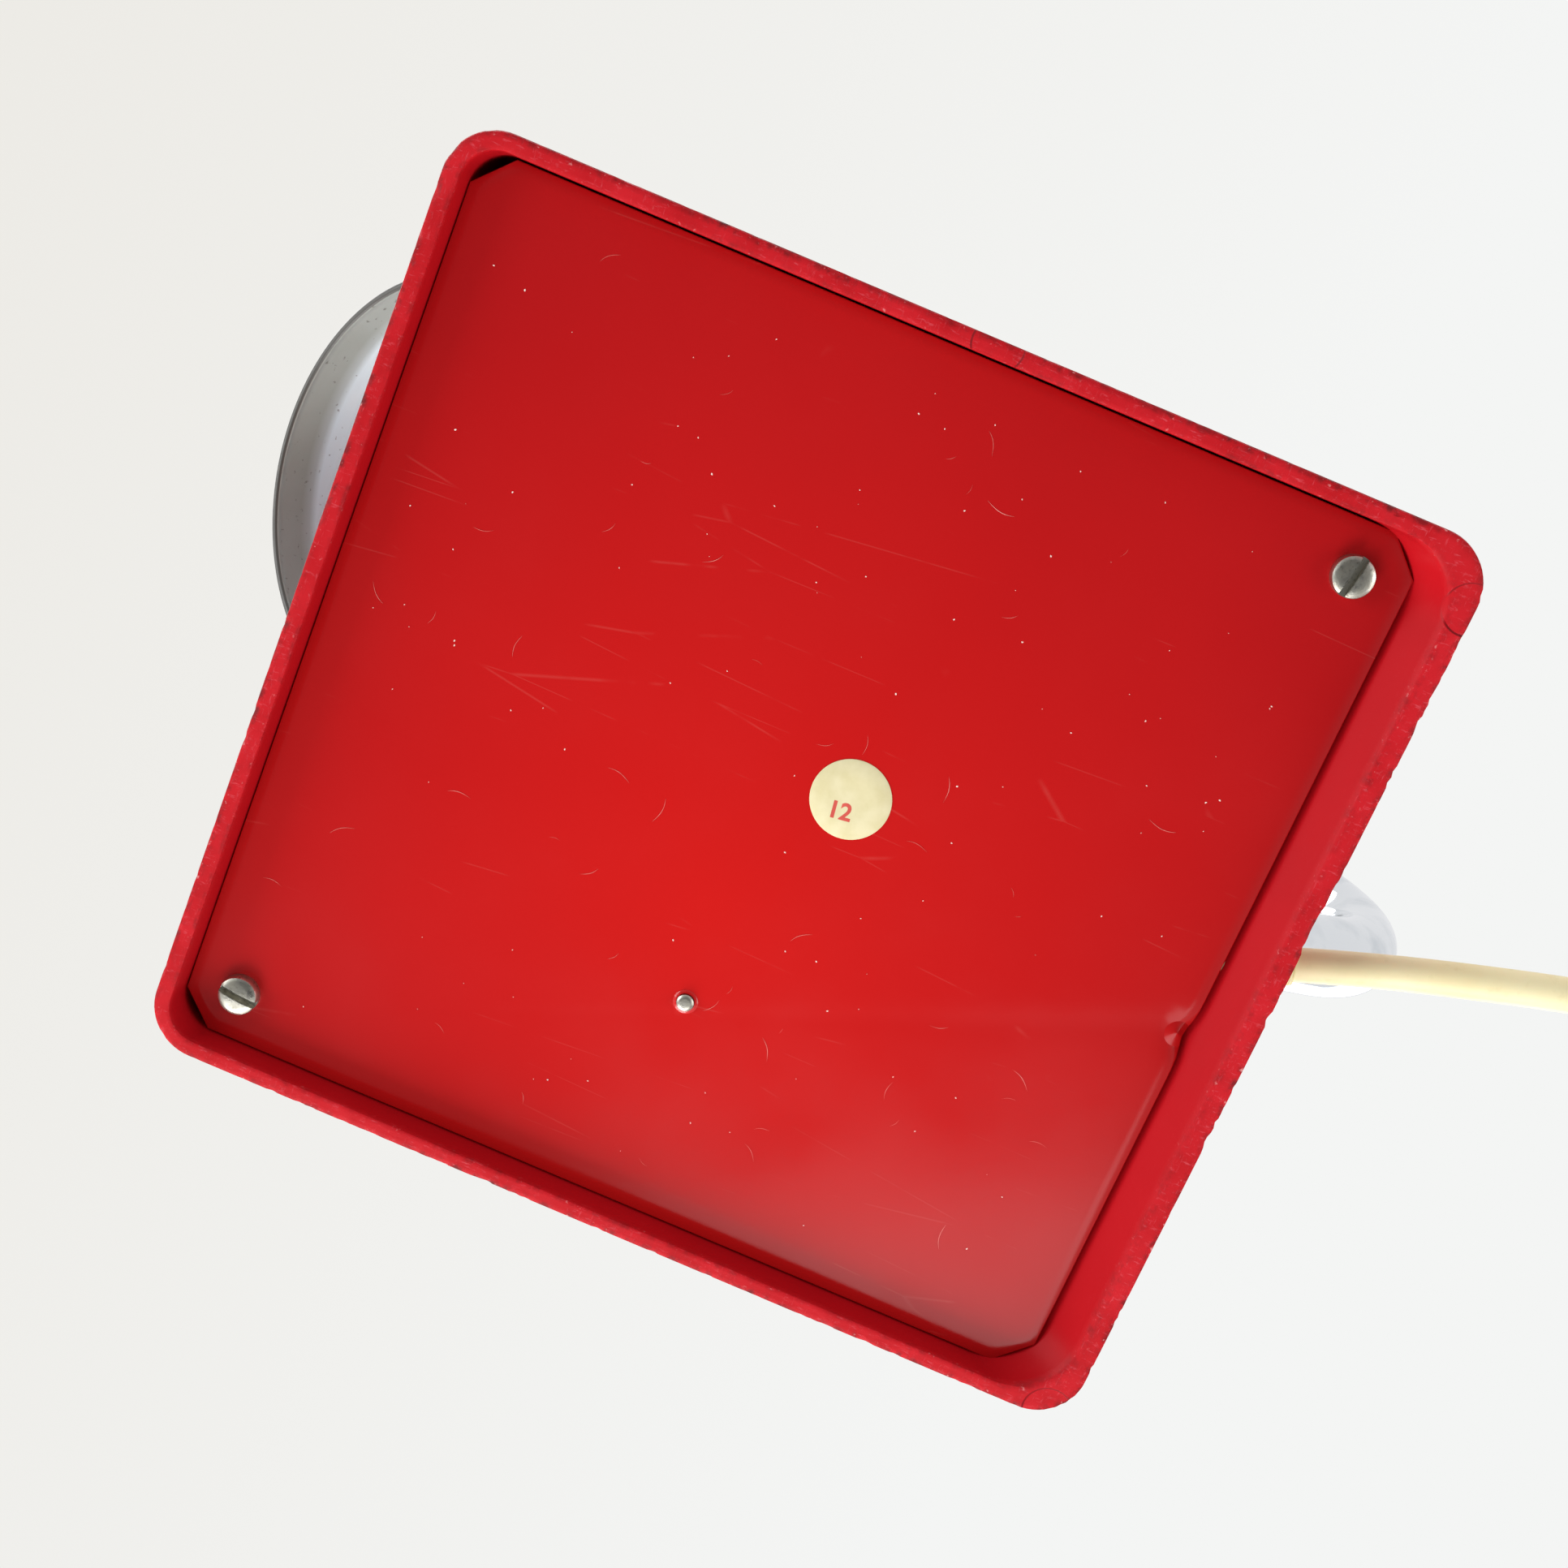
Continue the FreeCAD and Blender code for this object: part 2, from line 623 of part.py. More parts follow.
def lampholder_ring():
    low = holder_low + 0.8
    inner_top = shade_band + shade_dome - shade_wall
    top = inner_top - 0.9
    outline = [(holder_radius + fit_gap, low), (17.5, low), (18.5, low + 1), (18.5, top),
               (14.4, inner_top - 0.2), (holder_radius + fit_gap, inner_top - 0.2)]
    return on_head(revolve(outline))


def bulb_outline(inset):
    """Half of the bulb's closed outline: tip, round body, tapering neck."""
    r = bulb_radius - inset
    centre = V(0, 0, bulb_tip + bulb_radius)
    neck_r = 10.6 - inset
    neck = centre + V(neck_r, 0, math.sqrt(r * r - neck_r * neck_r))
    tip = centre - V(0, 0, r)
    end_z = bulb_cap_low + 1.5 - (inset * 2)
    throat = V(bulb_cap_radius - 1.3 - inset, 0, end_z)
    edges = [Part.Arc(tip, centre + V(r, 0, 0), neck).toShape(), Part.makeLine(neck, throat)]
    edges += [Part.makeLine(throat, V(0, 0, end_z)), Part.makeLine(V(0, 0, end_z), tip)]
    return Part.Face(Part.Wire(edges)).revolve(V(0, 0, 0), V(0, 0, 1), 360)


def bulb_glass():
    return on_head(bulb_outline(0).cut(bulb_outline(glass_wall)))


def bulb_cap():
    """Threaded sleeve, drawn as rolled ridges, with its centre contact."""
    outline = [(0, bulb_cap_low + 1.7), (6.0, bulb_cap_low + 1.7), (6.45, bulb_cap_low)]
    z = bulb_cap_low
    while z < bulb_cap_top - 5:
        outline.append((bulb_cap_radius, z + 0.8))
        outline.append((bulb_cap_radius - 0.6, z + 2.2))
        z += 2.8
    outline += [(bulb_cap_radius - 0.6, bulb_cap_top - 3), (3.0, bulb_cap_top), (0, bulb_cap_top + 1.5)]
    return on_head(revolve(outline))


def switch_body():
    x = switch_width / 2
    y = switch_length / 2
    body = box(V(2 * x, 2 * y, switch_depth), switch_at + V(-x, -y, base_height - switch_depth))
    bezel = box(V(2 * (x + bezel_edge), 2 * (y + bezel_edge), bezel_height), V(0, 0, 0))
    upper = [e for e in bezel.Edges if e.BoundBox.ZMin > bezel_height - 0.01]
    bezel = bezel.makeFillet(0.6, upper)
    body = body.fuse(moved(bezel, switch_at + V(-x - bezel_edge, -y - bezel_edge, base_height)))
    pocket_y = rocker_radius + rocker_gap
    pocket_low = switch_at + V(switch_wall - x, -pocket_y, base_height - 10)
    pocket = box(V(2 * (x - switch_wall), 2 * pocket_y, 14), pocket_low)
    body = body.cut(pocket)
    pin_hole = cylinder(rocker_pin_radius + fit_gap, 2 * x + 1, rocker_pivot - V(x + 0.5, 0, 0), V(1, 0, 0))
    return body.cut(pin_hole).removeSplitter()


rocker_pivot = switch_at + V(0, 0, base_height - 2.5)


def switch_rocker():
    """A drum sector whose top is two flats; at rest its front half is up."""
    x = switch_width / 2 - switch_wall - rocker_gap
    drum = cylinder(rocker_radius, 2 * x, V(-x, 0, 0), V(1, 0, 0))
    keep = box(V(2 * x, 30, 20), V(-x, -15, -3))
    rocker = drum.common(keep)
    for side in (-1, 1):
        top = box(V(30, 30, 10), V(-15, 0 if side > 0 else -30, 4.2))
        top.rotate(V(0, 0, 4.2), V(1, 0, 0), side * rocker_slope_deg)
        rocker = rocker.cut(top)
    pin_x = switch_width / 2 - fit_gap
    rocker = rocker.fuse(cylinder(rocker_pin_radius, 2 * pin_x, V(-pin_x, 0, 0), V(1, 0, 0))).removeSplitter()
    rocker.rotate(V(0, 0, 0), V(1, 0, 0), -rocker_slope_deg)
    return moved(rocker, rocker_pivot)


coil_outer_turn = coil_inner_turn + coil_pitch * (coil_turns - 1)
last_run = cord_route[-1] - cord_route[-2]
last_run.normalize()
coil_centre = cord_route[-1] + V(last_run.y, -last_run.x, 0) * coil_outer_turn
coil_centre.z = 0


def power_cord():
    path, radii = round_route(cord_route)
    tube = sweep(path, cord_radius)
    section = math.pi * cord_radius ** 2
    print("cord radii", [round(r, 1) for r in radii], "volume", round(tube.Volume, 1),
          "section x length", round(section * path.Length, 1), "length", round(path.Length, 1))
    return tube


def cord_coil():
    low = floor_z - cord_radius
    high = floor_z + coil_pitch + cord_radius
    inner = coil_inner_turn - cord_radius
    outer = coil_outer_turn + cord_radius
    coil = ring(outer, inner, high - low, coil_centre + V(0, 0, low))
    turns = 2 * sum(coil_inner_turn + coil_pitch * k for k in range(coil_turns))
    print("coil length", round(2 * math.pi * turns, 1), "centre", coil_centre)
    round_edges = [e for e in coil.Edges if len(e.Vertexes) == 1]
    return coil.makeFillet(cord_radius * 0.9, round_edges)


def plug_frame():
    """Where the tail leaves the coil, and the way it runs."""
    angle = math.radians(plug_angle_deg)
    start = coil_centre + V(math.cos(angle), math.sin(angle), 0) * coil_outer_turn
    return start, V(math.sin(angle), -math.cos(angle), 0)


def plug_place(shape):
    start, way = plug_frame()
    shape.rotate(V(0, 0, 0), V(0, 0, 1), math.degrees(math.atan2(way.y, way.x)))
    shape.translate(start + way * plug_tail)
    return shape


def cord_tail():
    start, way = plug_frame()
    high = floor_z + coil_pitch
    side = V(way.y, -way.x, 0)
    points = [start + V(0, 0, high), start + way * (plug_tail * 0.5) - side * 1.5 + V(0, 0, high - 1.5),
              start + way * plug_tail + V(0, 0, plug_thickness / 2)]
    path, radii = round_route(points)
    print("tail radii", [round(r, 1) for r in radii])
    return sweep(path, cord_radius)


def plug_body():
    """A flat two-pin body that narrows from the lead to the pin face."""
    low = [(0, 6.5), (9, plug_width / 2), (plug_length, plug_width / 2 - 4)]
    outline = [V(x, y, 0) for x, y in low] + [V(x, -y, 0) for x, y in reversed(low)]
    body = Part.Face(Part.makePolygon(outline + outline[:1])).extrude(V(0, 0, plug_thickness))
    body = body.makeFillet(2.0, body.Edges)
    return plug_place(body)


def plug_pins():
    made = []
    for side in (-1, 1):
        foot = V(plug_length, side * pin_spacing / 2, plug_thickness / 2)
        pin = cylinder(pin_radius, pin_length, foot, V(1, 0, 0))
        tip = [e for e in pin.Edges if e.BoundBox.XMin > plug_length + 1 and len(e.Vertexes) == 1]
        made.append(pin.makeFillet(1.2, tip))
    return plug_place(Part.makeCompound(made))


pieces = [
    base_housing, bottom_plate, plate_screws, ballast_weight, ballast_screw, sticker,
    arm_tube, arm_collar, arm_washer, arm_locknut, arm_lead, swivel_screw, terminal_block, terminal_screw,
    supply_lead, lead_clip, clip_screw, strain_relief, tilt_tongue, head_fork, fork_nipple, nipple_nut,
    pivot_screw, pivot_nut, pivot_washers, head_shade, rear_cap, lampholder, lampholder_ring,
    bulb_glass, bulb_cap, switch_body, switch_rocker, power_cord, cord_coil, cord_tail, plug_body, plug_pins,
]

os.makedirs("parts", exist_ok=True)
for make in pieces:
    shape = make()
    shape.exportStep("parts/" + make.__name__ + ".step")
    box_now = shape.BoundBox
    print(make.__name__, "solids", len(shape.Solids), "valid", shape.isValid(),
          "volume", round(shape.Volume, 1), "z", round(box_now.ZMin, 2), round(box_now.ZMax, 2))
print("arm leaves the rear face at", arm_face, "head opening", head_origin)
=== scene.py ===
import json
import math

import bmesh
import bpy
from mathutils import Matrix, Vector, noise


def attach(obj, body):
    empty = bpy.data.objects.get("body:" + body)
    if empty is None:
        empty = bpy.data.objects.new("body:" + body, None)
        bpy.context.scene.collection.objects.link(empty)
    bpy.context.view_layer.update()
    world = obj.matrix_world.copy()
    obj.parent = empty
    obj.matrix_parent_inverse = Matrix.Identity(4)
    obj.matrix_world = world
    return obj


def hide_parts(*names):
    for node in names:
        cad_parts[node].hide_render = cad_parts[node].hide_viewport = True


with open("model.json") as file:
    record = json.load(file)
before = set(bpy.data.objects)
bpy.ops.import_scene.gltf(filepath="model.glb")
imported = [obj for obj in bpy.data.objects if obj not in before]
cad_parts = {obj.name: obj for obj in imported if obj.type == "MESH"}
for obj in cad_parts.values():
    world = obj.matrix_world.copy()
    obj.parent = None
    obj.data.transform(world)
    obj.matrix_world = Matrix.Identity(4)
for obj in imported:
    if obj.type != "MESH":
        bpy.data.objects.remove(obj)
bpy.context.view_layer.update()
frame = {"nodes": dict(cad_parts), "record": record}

# A small swan-neck safelight. Metres everywhere; sizes in the dictionaries are millimetres.

mm = 0.001


def hexColour(code):
    # sRGB hex to the linear colour that Blender mixes in
    parts = [int(code[i:i + 2], 16) / 255 for i in (1, 3, 5)]
    return [c / 12.92 if c <= 0.04045 else ((c + 0.055) / 1.055) ** 2.4 for c in parts] + [1.0]


def addNode(tree, kind, inputs=None, **settings):
    # one node with its settings; an input is given a value, a hex colour or another node's socket
    node = tree.nodes.new(kind)
    for key, value in settings.items():
        setattr(node, key, value)
    for key, value in (inputs or {}).items():
        if isinstance(value, bpy.types.NodeSocket):
            tree.links.new(value, node.inputs[key])
        else:
            isHex = isinstance(value, str) and value.startswith("#")
            node.inputs[key].default_value = hexColour(value) if isHex else value
    return node


# camera, and the mains lead

cameraSet = {
    "place": (80.4, -1.9, -309.2),
    "right": (0.3789, 0.9209, 0.0916),
    "down": (-0.8940, 0.3899, -0.2208),
    "lens": 44.72,
}


def makeCamera(s):
    right = Vector(s["right"]).normalized()
    down = Vector(s["down"])
    down = (down - right * down.dot(right)).normalized()
    back = right.cross(-down)
    data = bpy.data.cameras.new("viewCamera")
    data.lens = s["lens"]
    data.sensor_width = 36
    data.clip_start = 0.01
    data.clip_end = 50
    camera = bpy.data.objects.new("viewCamera", data)
    turn = Matrix((right, -down, back)).transposed().to_4x4()
    camera.matrix_world = Matrix.Translation(Vector(s["place"]) * mm) @ turn
    bpy.context.scene.collection.objects.link(camera)
    bpy.context.scene.camera = camera


makeCamera(cameraSet)
print("camera made")

leadSet = {
    "diameter": 6.0,
    "length": 1.70,         # metres, measured along the line
    "floor": 3.02,          # height of the centreline on the floor
    "exitTurn": 20,         # degrees that it leaves the wall at, away from straight back
    "route": [
        (7.0, 89.5, 11.3), (11.45, 101.72, 11.3), (18.3, 118.0, 5.2), (23.4, 134.0, 3.02),
        (27.9, 155.2, 3.02),
    ],
    "coilCentre": (74.21, 163.88),
    "coilStart": 163.1,     # degrees round the coil where the lead comes in
    "coilEnd": 25.0,        # degrees where it leaves for the plug
    "rings": [41.8, 35.7, 29.6, 23.5],
    "pitch": 6.1,
    "perTurn": 16,
    "tail": 45.0,
    "plugHeight": 6.85,
}


def easeBetween(t, start, end):
    u = min(1.0, max(0.0, (t - start) / (end - start)))
    return u * u * (3 - 2 * u)


def coilRadiusAt(s, t):
    # four turns wound inwards, then the upper layer wound outwards; each step takes a quarter turn
    r = s["rings"]
    radius = r[0]
    for k in range(3):
        radius -= s["pitch"] * easeBetween(t, k + 0.72, k + 0.98)
    for k in range(3):
        radius += s["pitch"] * easeBetween(t, k + 4.02, k + 4.3)
    return radius


def leadPoints(s):
    points = [Vector(p) for p in s["route"]]
    turnStep = 1 / s["perTurn"]
    bulge = 1 / (0.75 + 0.25 * math.cos(2 * math.pi * turnStep))   # control points lie outside the line
    whole = 7 + ((s["coilStart"] - s["coilEnd"]) % 360) / 360
    count = int(whole / turnStep)
    for i in range(1, count + 1):
        t = i * turnStep
        angle = math.radians(s["coilStart"] - 360 * t)
        reach = coilRadiusAt(s, t) * bulge
        height = s["floor"] + s["pitch"] * easeBetween(t, 3.33, 3.7)
        points.append(Vector((s["coilCentre"][0] + reach * math.cos(angle),
                              s["coilCentre"][1] + reach * math.sin(angle), height)))
    angle = math.radians(s["coilEnd"])
    way = Vector((math.sin(angle), -math.cos(angle), 0))
    side = Vector((math.cos(angle), math.sin(angle), 0))
    leave = Vector((*s["coilCentre"], 0)) + side * s["rings"][0]
    top = s["floor"] + s["pitch"]
    points.append(leave + way * 3 + Vector((0, 0, top)) + side * 0.4)
    points.append(leave + way * s["tail"] * 0.55 + Vector((0, 0, top - 1.2)) + side * 1.0)
    points.append(leave + way * (s["tail"] + 2) + Vector((0, 0, s["plugHeight"])))
    return points


def makeLead(s):
    curve = bpy.data.curves.new("mainsLead", "CURVE")
    curve.dimensions = "3D"
    spline = curve.splines.new("NURBS")
    points = leadPoints(s)
    spline.points.add(len(points) - 1)
    for target, p in zip(spline.points, points):
        target.co = (*(p * mm), 1.0)
    spline.order_u = 3
    spline.use_endpoint_u = True
    spline.resolution_u = 5
    curve.bevel_depth = s["diameter"] / 2 * mm
    curve.bevel_resolution = 5
    curve.use_fill_caps = True
    lead = bpy.data.objects.new("mainsLead", curve)
    bpy.context.scene.collection.objects.link(lead)
    return lead


mainsLead = makeLead(leadSet)
print("mains lead laid")

# materials


def startMaterial(name):
    material = bpy.data.materials.new(name)
    material.use_nodes = True
    tree = material.node_tree
    shader = tree.nodes["Principled BSDF"]
    place = addNode(tree, "ShaderNodeTexCoord").outputs["Object"]
    return material, tree, shader, place


def patternNoise(tree, place, sizeMm, detail=3.0, stretch=(1, 1, 1), roughness=0.5):
    # noise whose lumps are about sizeMm across
    scaled = addNode(tree, "ShaderNodeMapping", {"Vector": place, "Scale": stretch})
    return addNode(tree, "ShaderNodeTexNoise", {
        "Vector": scaled.outputs[0], "Scale": 1 / (sizeMm * mm), "Detail": detail, "Roughness": roughness,
    }).outputs["Fac"]


def patchMask(tree, place, sizeMm, detail, low, high, toLow=0.0, toHigh=1.0, stretch=(1, 1, 1),
              roughness=0.5):
    # patches about sizeMm across: toLow where the noise is under low, toHigh where it is over high
    return addNode(tree, "ShaderNodeMapRange", {
        "Value": patternNoise(tree, place, sizeMm, detail, stretch, roughness),
        "From Min": low, "From Max": high, "To Min": toLow, "To Max": toHigh}).outputs["Result"]


def multiplied(tree, mask, *others):
    # bright only where every mask is
    for other in others:
        mask = addNode(tree, "ShaderNodeMath", {0: mask, 1: other}, operation="MULTIPLY").outputs[0]
    return mask


def layColours(tree, base, *layers):
    # each colour laid over those before it, where its mask is bright
    for mask, colour in layers:
        base = addNode(tree, "ShaderNodeMix", {0: mask, 6: base, 7: colour}, data_type="RGBA").outputs[2]
    return base


def setSurface(tree, shader, colour, mask, rough, most=1.0, reliefs=()):
    # roughness runs between the two values of rough as the mask runs from 0 to most
    # reliefs are heights with their depths in millimetres, each laid on the one before
    tree.links.new(colour, shader.inputs["Base Color"])
    sheen = addNode(tree, "ShaderNodeMapRange", {
        "Value": mask, "From Max": most, "To Min": rough[0], "To Max": rough[1]})
    tree.links.new(sheen.outputs["Result"], shader.inputs["Roughness"])
    under = None
    for height, depthMm in reliefs:
        inputs = {"Height": height, "Distance": depthMm * mm, "Strength": 1.0}
        if under is not None:
            inputs["Normal"] = under
        under = addNode(tree, "ShaderNodeBump", inputs).outputs["Normal"]
    tree.links.new(under, shader.inputs["Normal"])


def plainFinish(name, colours, rough, metallic=0.0, lumpMm=25.0, grainMm=0.6, grainDepth=0.01, coat=0.0):
    # two close colours clouded over lumpMm, roughness that follows the same cloud, and a fine surface grain
    material, tree, shader, place = startMaterial(name)
    cloud = patchMask(tree, place, lumpMm, 4.0, 0.35, 0.65)
    grain = patternNoise(tree, place, grainMm, 3.0)
    setSurface(tree, shader, layColours(tree, colours[0], (cloud, colours[1])), cloud, rough,
               reliefs=[(grain, grainDepth)])
    shader.inputs["Metallic"].default_value = metallic
    shader.inputs["Coat Weight"].default_value = coat
    return material


finishes = {}
# cast iron: sand cast and left raw, so dull, dark and pitted
finishes["cast_iron"] = plainFinish("castIron", ("#2B2A29", "#4A4644"), (0.6, 0.8), 0.6, 12, 1.5, 0.15)
# paper: uncoated label stock, yellowed, no gloss at all
finishes["label_paper"] = plainFinish("agedLabelPaper", ("#D6CB9C", "#DFD5AC"), (0.75, 0.9), 0, 3, 0.25, 0.01)
# zinc plate on turned steel: greyish, slightly blotched
finishes["zinc_steel"] = plainFinish("zincPlate", ("#8E8E88", "#B4B3AB"), (0.35, 0.5), 1.0, 6, 0.4, 0.01)
# phenolic: compression moulded, black-brown with a soft shine
finishes["black_bakelite"] = plainFinish("phenolic", ("#14100E", "#231B17"), (0.22, 0.38), 0, 9, 0.5, 0.006)
# nylon: injection moulded, black, fine spark-eroded grain
finishes["black_plastic"] = plainFinish("blackNylon", ("#131313", "#1F1F20"), (0.3, 0.45), 0, 8, 0.35, 0.008)
# natural nylon: milky and waxy
finishes["clear_nylon"] = plainFinish("naturalNylon", ("#D5D2C4", "#E2DFD3"), (0.35, 0.5), 0, 8, 0.5, 0.005)
# brass: pressed and lightly tarnished
finishes["brass"] = plainFinish("pressedBrass", ("#B08A4A", "#D2B06A"), (0.22, 0.4), 1.0, 5, 0.4, 0.006)
# stoved enamel, red like the base: spray coat with a faint orange peel of about 1.2 mm
finishes["red_enamel"] = plainFinish("redEnamel", ("#A9141A", "#BC1A1F"), (0.14, 0.24), 0, 20, 1.2, 0.012,
                                     coat=0.3)


def makeNickel():
    # nickel plate worn through to dull patches, with dark dirt in small scattered patches
    material, tree, shader, place = startMaterial("wornNickel")
    cloud = patchMask(tree, place, 1.6, 4.0, 0.35, 0.7)
    dirt = patchMask(tree, place, 0.7, 3.0, 0.6, 0.75, 0, 0.7)
    base = layColours(tree, "#A9A79A", (cloud, "#D3D1C6"), (dirt, "#6B5F4E"))
    pits = patternNoise(tree, place, 0.35, 4.0)
    setSurface(tree, shader, base, cloud, (0.42, 0.24), reliefs=[(pits, 0.02)])
    shader.inputs["Metallic"].default_value = 1.0
    return material


def makeChrome():
    # chrome over nickel on a bent tube: mirror bright, wavy over the bend, a few small pits
    material, tree, shader, place = startMaterial("brightChrome")
    haze = patchMask(tree, place, 9, 4.0, 0.5, 0.8)
    swell = patternNoise(tree, place, 32, 0.0)
    pits = patternNoise(tree, place, 0.8, 2.0)
    setSurface(tree, shader, layColours(tree, "#E6E9EB", (haze, "#CCD2D6")), haze, (0.06, 0.12),
               reliefs=[(swell, 0.04), (pits, 0.0012)])
    shader.inputs["Metallic"].default_value = 1.0
    return material


def makeFlexSheath():
    # PVC flex sheath gone cream with age: extruded, a little grimy in patches, with a soft shine
    material, tree, shader, place = startMaterial("creamFlex")
    cloud = patchMask(tree, place, 16, 4.0, 0.3, 0.7)
    grime = patchMask(tree, place, 2.2, 5.0, 0.6, 0.8, 0, 0.3)
    base = layColours(tree, "#EFE4B8", (cloud, "#E6D8A6"), (grime, "#C9B77C"))
    skin = patternNoise(tree, place, 0.9, 3.0)
    setSurface(tree, shader, base, cloud, (0.38, 0.5), reliefs=[(skin, 0.02)])
    shader.inputs["Subsurface Weight"].default_value = 0.08
    shader.inputs["Subsurface Scale"].default_value = 0.002
    return material


def makeLampGlass():
    # blown lamp glass dipped in ruby lacquer: deep red, glassy, slightly uneven coat
    material, tree, shader, place = startMaterial("rubyLampGlass")
    cloud = patchMask(tree, place, 8, 3.0, 0.35, 0.65)
    runs = patternNoise(tree, place, 5, 2.0)
    setSurface(tree, shader, layColours(tree, "#8E0D10", (cloud, "#B3171A")), cloud, (0.06, 0.12),
               reliefs=[(runs, 0.03)])
    shader.inputs["Transmission Weight"].default_value = 0.35
    shader.inputs["Coat Weight"].default_value = 0.6
    return material


def makeShadeEnamel():
    # stoved grey enamel outside and on the straight band inside, where the grey also stands for the band's
    # painted shade; the dome inside is painted a paler bluish white, a painted light for the light that falls
    # into the shade
    material, tree, shader, place = startMaterial("shadeEnamel")
    inside = addNode(tree, "ShaderNodeAttribute", attribute_name="inside").outputs["Fac"]
    lip = addNode(tree, "ShaderNodeAttribute", attribute_name="lip").outputs["Fac"]
    cloud = patchMask(tree, place, 18, 4.0, 0.3, 0.7)
    grey = layColours(tree, "#A0A69D", (cloud, "#ACB2AB"))
    # painted light: the dome inside is painted pale and bluish where light falls into the shade
    pale = layColours(tree, "#E4F4FA", (cloud, "#EEFAFC"))
    spots = patchMask(tree, place, 1.6, 4.0, 0.66, 0.72, 0, 0.6)
    # painted shade: the rolled bead at the free edge is painted dark grey
    base = layColours(tree, grey, (inside, pale), (lip, "#4E4C47"), (spots, "#5B544B"))
    peel = patternNoise(tree, place, 1.1, 2.0)
    setSurface(tree, shader, base, cloud, (0.3, 0.45), reliefs=[(peel, 0.012)])
    return material


def spotMask(tree, place, at, radiusMm, softMm):
    # 1 inside a disc round a point of the flat underside, 0 outside
    flat = addNode(tree, "ShaderNodeVectorMath", {0: place, 1: (1, 1, 0)}, operation="MULTIPLY").outputs[0]
    away = addNode(tree, "ShaderNodeVectorMath", {0: flat, 1: (at[0] * mm, at[1] * mm, 0)},
                   operation="DISTANCE").outputs["Value"]
    return addNode(tree, "ShaderNodeMapRange", {
        "Value": away, "From Min": (radiusMm + softMm) * mm, "From Max": (radiusMm - softMm) * mm,
    }).outputs["Result"]


housingMarks = {
    "pins": [(72.6, 86.2, 4.2), (81.6, 2.7, 4.2), (-80.9, 83.4, 4.4)],   # ejector-pin discs on the rim
    "pinSoft": 0.18,
}


def makeHousingAbs(marks):
    # ABS coloured right through: glossy walls, a rim worn dull by years on the bench, dark patches along its
    # edges, and chips
    material, tree, shader, place = startMaterial("redAbs")
    edge = addNode(tree, "ShaderNodeAttribute", attribute_name="edge").outputs["Fac"]
    rim = addNode(tree, "ShaderNodeAttribute", attribute_name="rim").outputs["Fac"]
    cloud = patchMask(tree, place, 30, 3.0, 0.1, 0.9)
    wall = layColours(tree, "#A80F17", (cloud, "#B8121B"))
    sanded = layColours(tree, "#B4141C", (patchMask(tree, place, 9, 5.0, 0.35, 0.65), "#C21C25"))
    # short scratches across the rim, drawn about 0.5 mm wide so that they show
    across = patchMask(tree, place, 0.55, 3.0, 0.58, 0.72, 0, 0.4, (1, 0.22, 1), 0.7)
    along = patchMask(tree, place, 0.5, 3.0, 0.6, 0.74, 0, 0.35, (0.2, 1, 1), 0.7)
    either = addNode(tree, "ShaderNodeMath", {0: across, 1: along}, operation="MAXIMUM").outputs[0]
    scuff = multiplied(tree, rim, either)
    darkEdgeSpots = patchMask(tree, place, 2.4, 5.0, 0.46, 0.62, roughness=0.65)
    patches = patchMask(tree, place, 17, 2.0, 0.36, 0.62, 0.3, 1.0)
    # dark patches in broken spots along the rim's outer and inner edges
    dark = multiplied(tree, edge, darkEdgeSpots, patches, 0.85)
    pale = multiplied(tree, edge, patchMask(tree, place, 0.9, 3.0, 0.66, 0.74), 0.7)
    base = layColours(tree, wall, (rim, sanded), (scuff, "#D8606A"), (dark, "#461A1B"), (pale, "#E79A98"))
    height = multiplied(tree, scuff, -0.12)
    for x, y, r in marks["pins"]:
        disc = spotMask(tree, place, (x, y), r, marks["pinSoft"])
        outside = addNode(tree, "ShaderNodeMath", {0: 1.0, 1: disc}, operation="SUBTRACT").outputs[0]
        base = layColours(tree, base, (multiplied(tree, disc, outside, 4.0, rim, 0.75), "#7A1218"))
        sunk = {0: height, 1: multiplied(tree, disc, rim)}
        height = addNode(tree, "ShaderNodeMath", sunk, operation="SUBTRACT").outputs[0]
    dull = {0: rim, 1: multiplied(tree, cloud, 0.2)}
    dullness = addNode(tree, "ShaderNodeMath", dull, operation="ADD").outputs[0]
    setSurface(tree, shader, base, dullness, (0.26, 0.62), 1.2,
               reliefs=[(height, 0.25), (patternNoise(tree, place, 0.9, 3.0), 0.012)])
    shader.inputs["Specular IOR Level"].default_value = 0.1
    return material


lacquerMarks = {
    "paintedLitMiddle": ((-22, -4), 58, 56),       # painted reflection: the middle of the sheet is painted a little brighter
    "dent": ((-10.6, 76.2), 1.2, 1.1),
    "scratchCell": 9, "scratchTurn": 0.6,
}


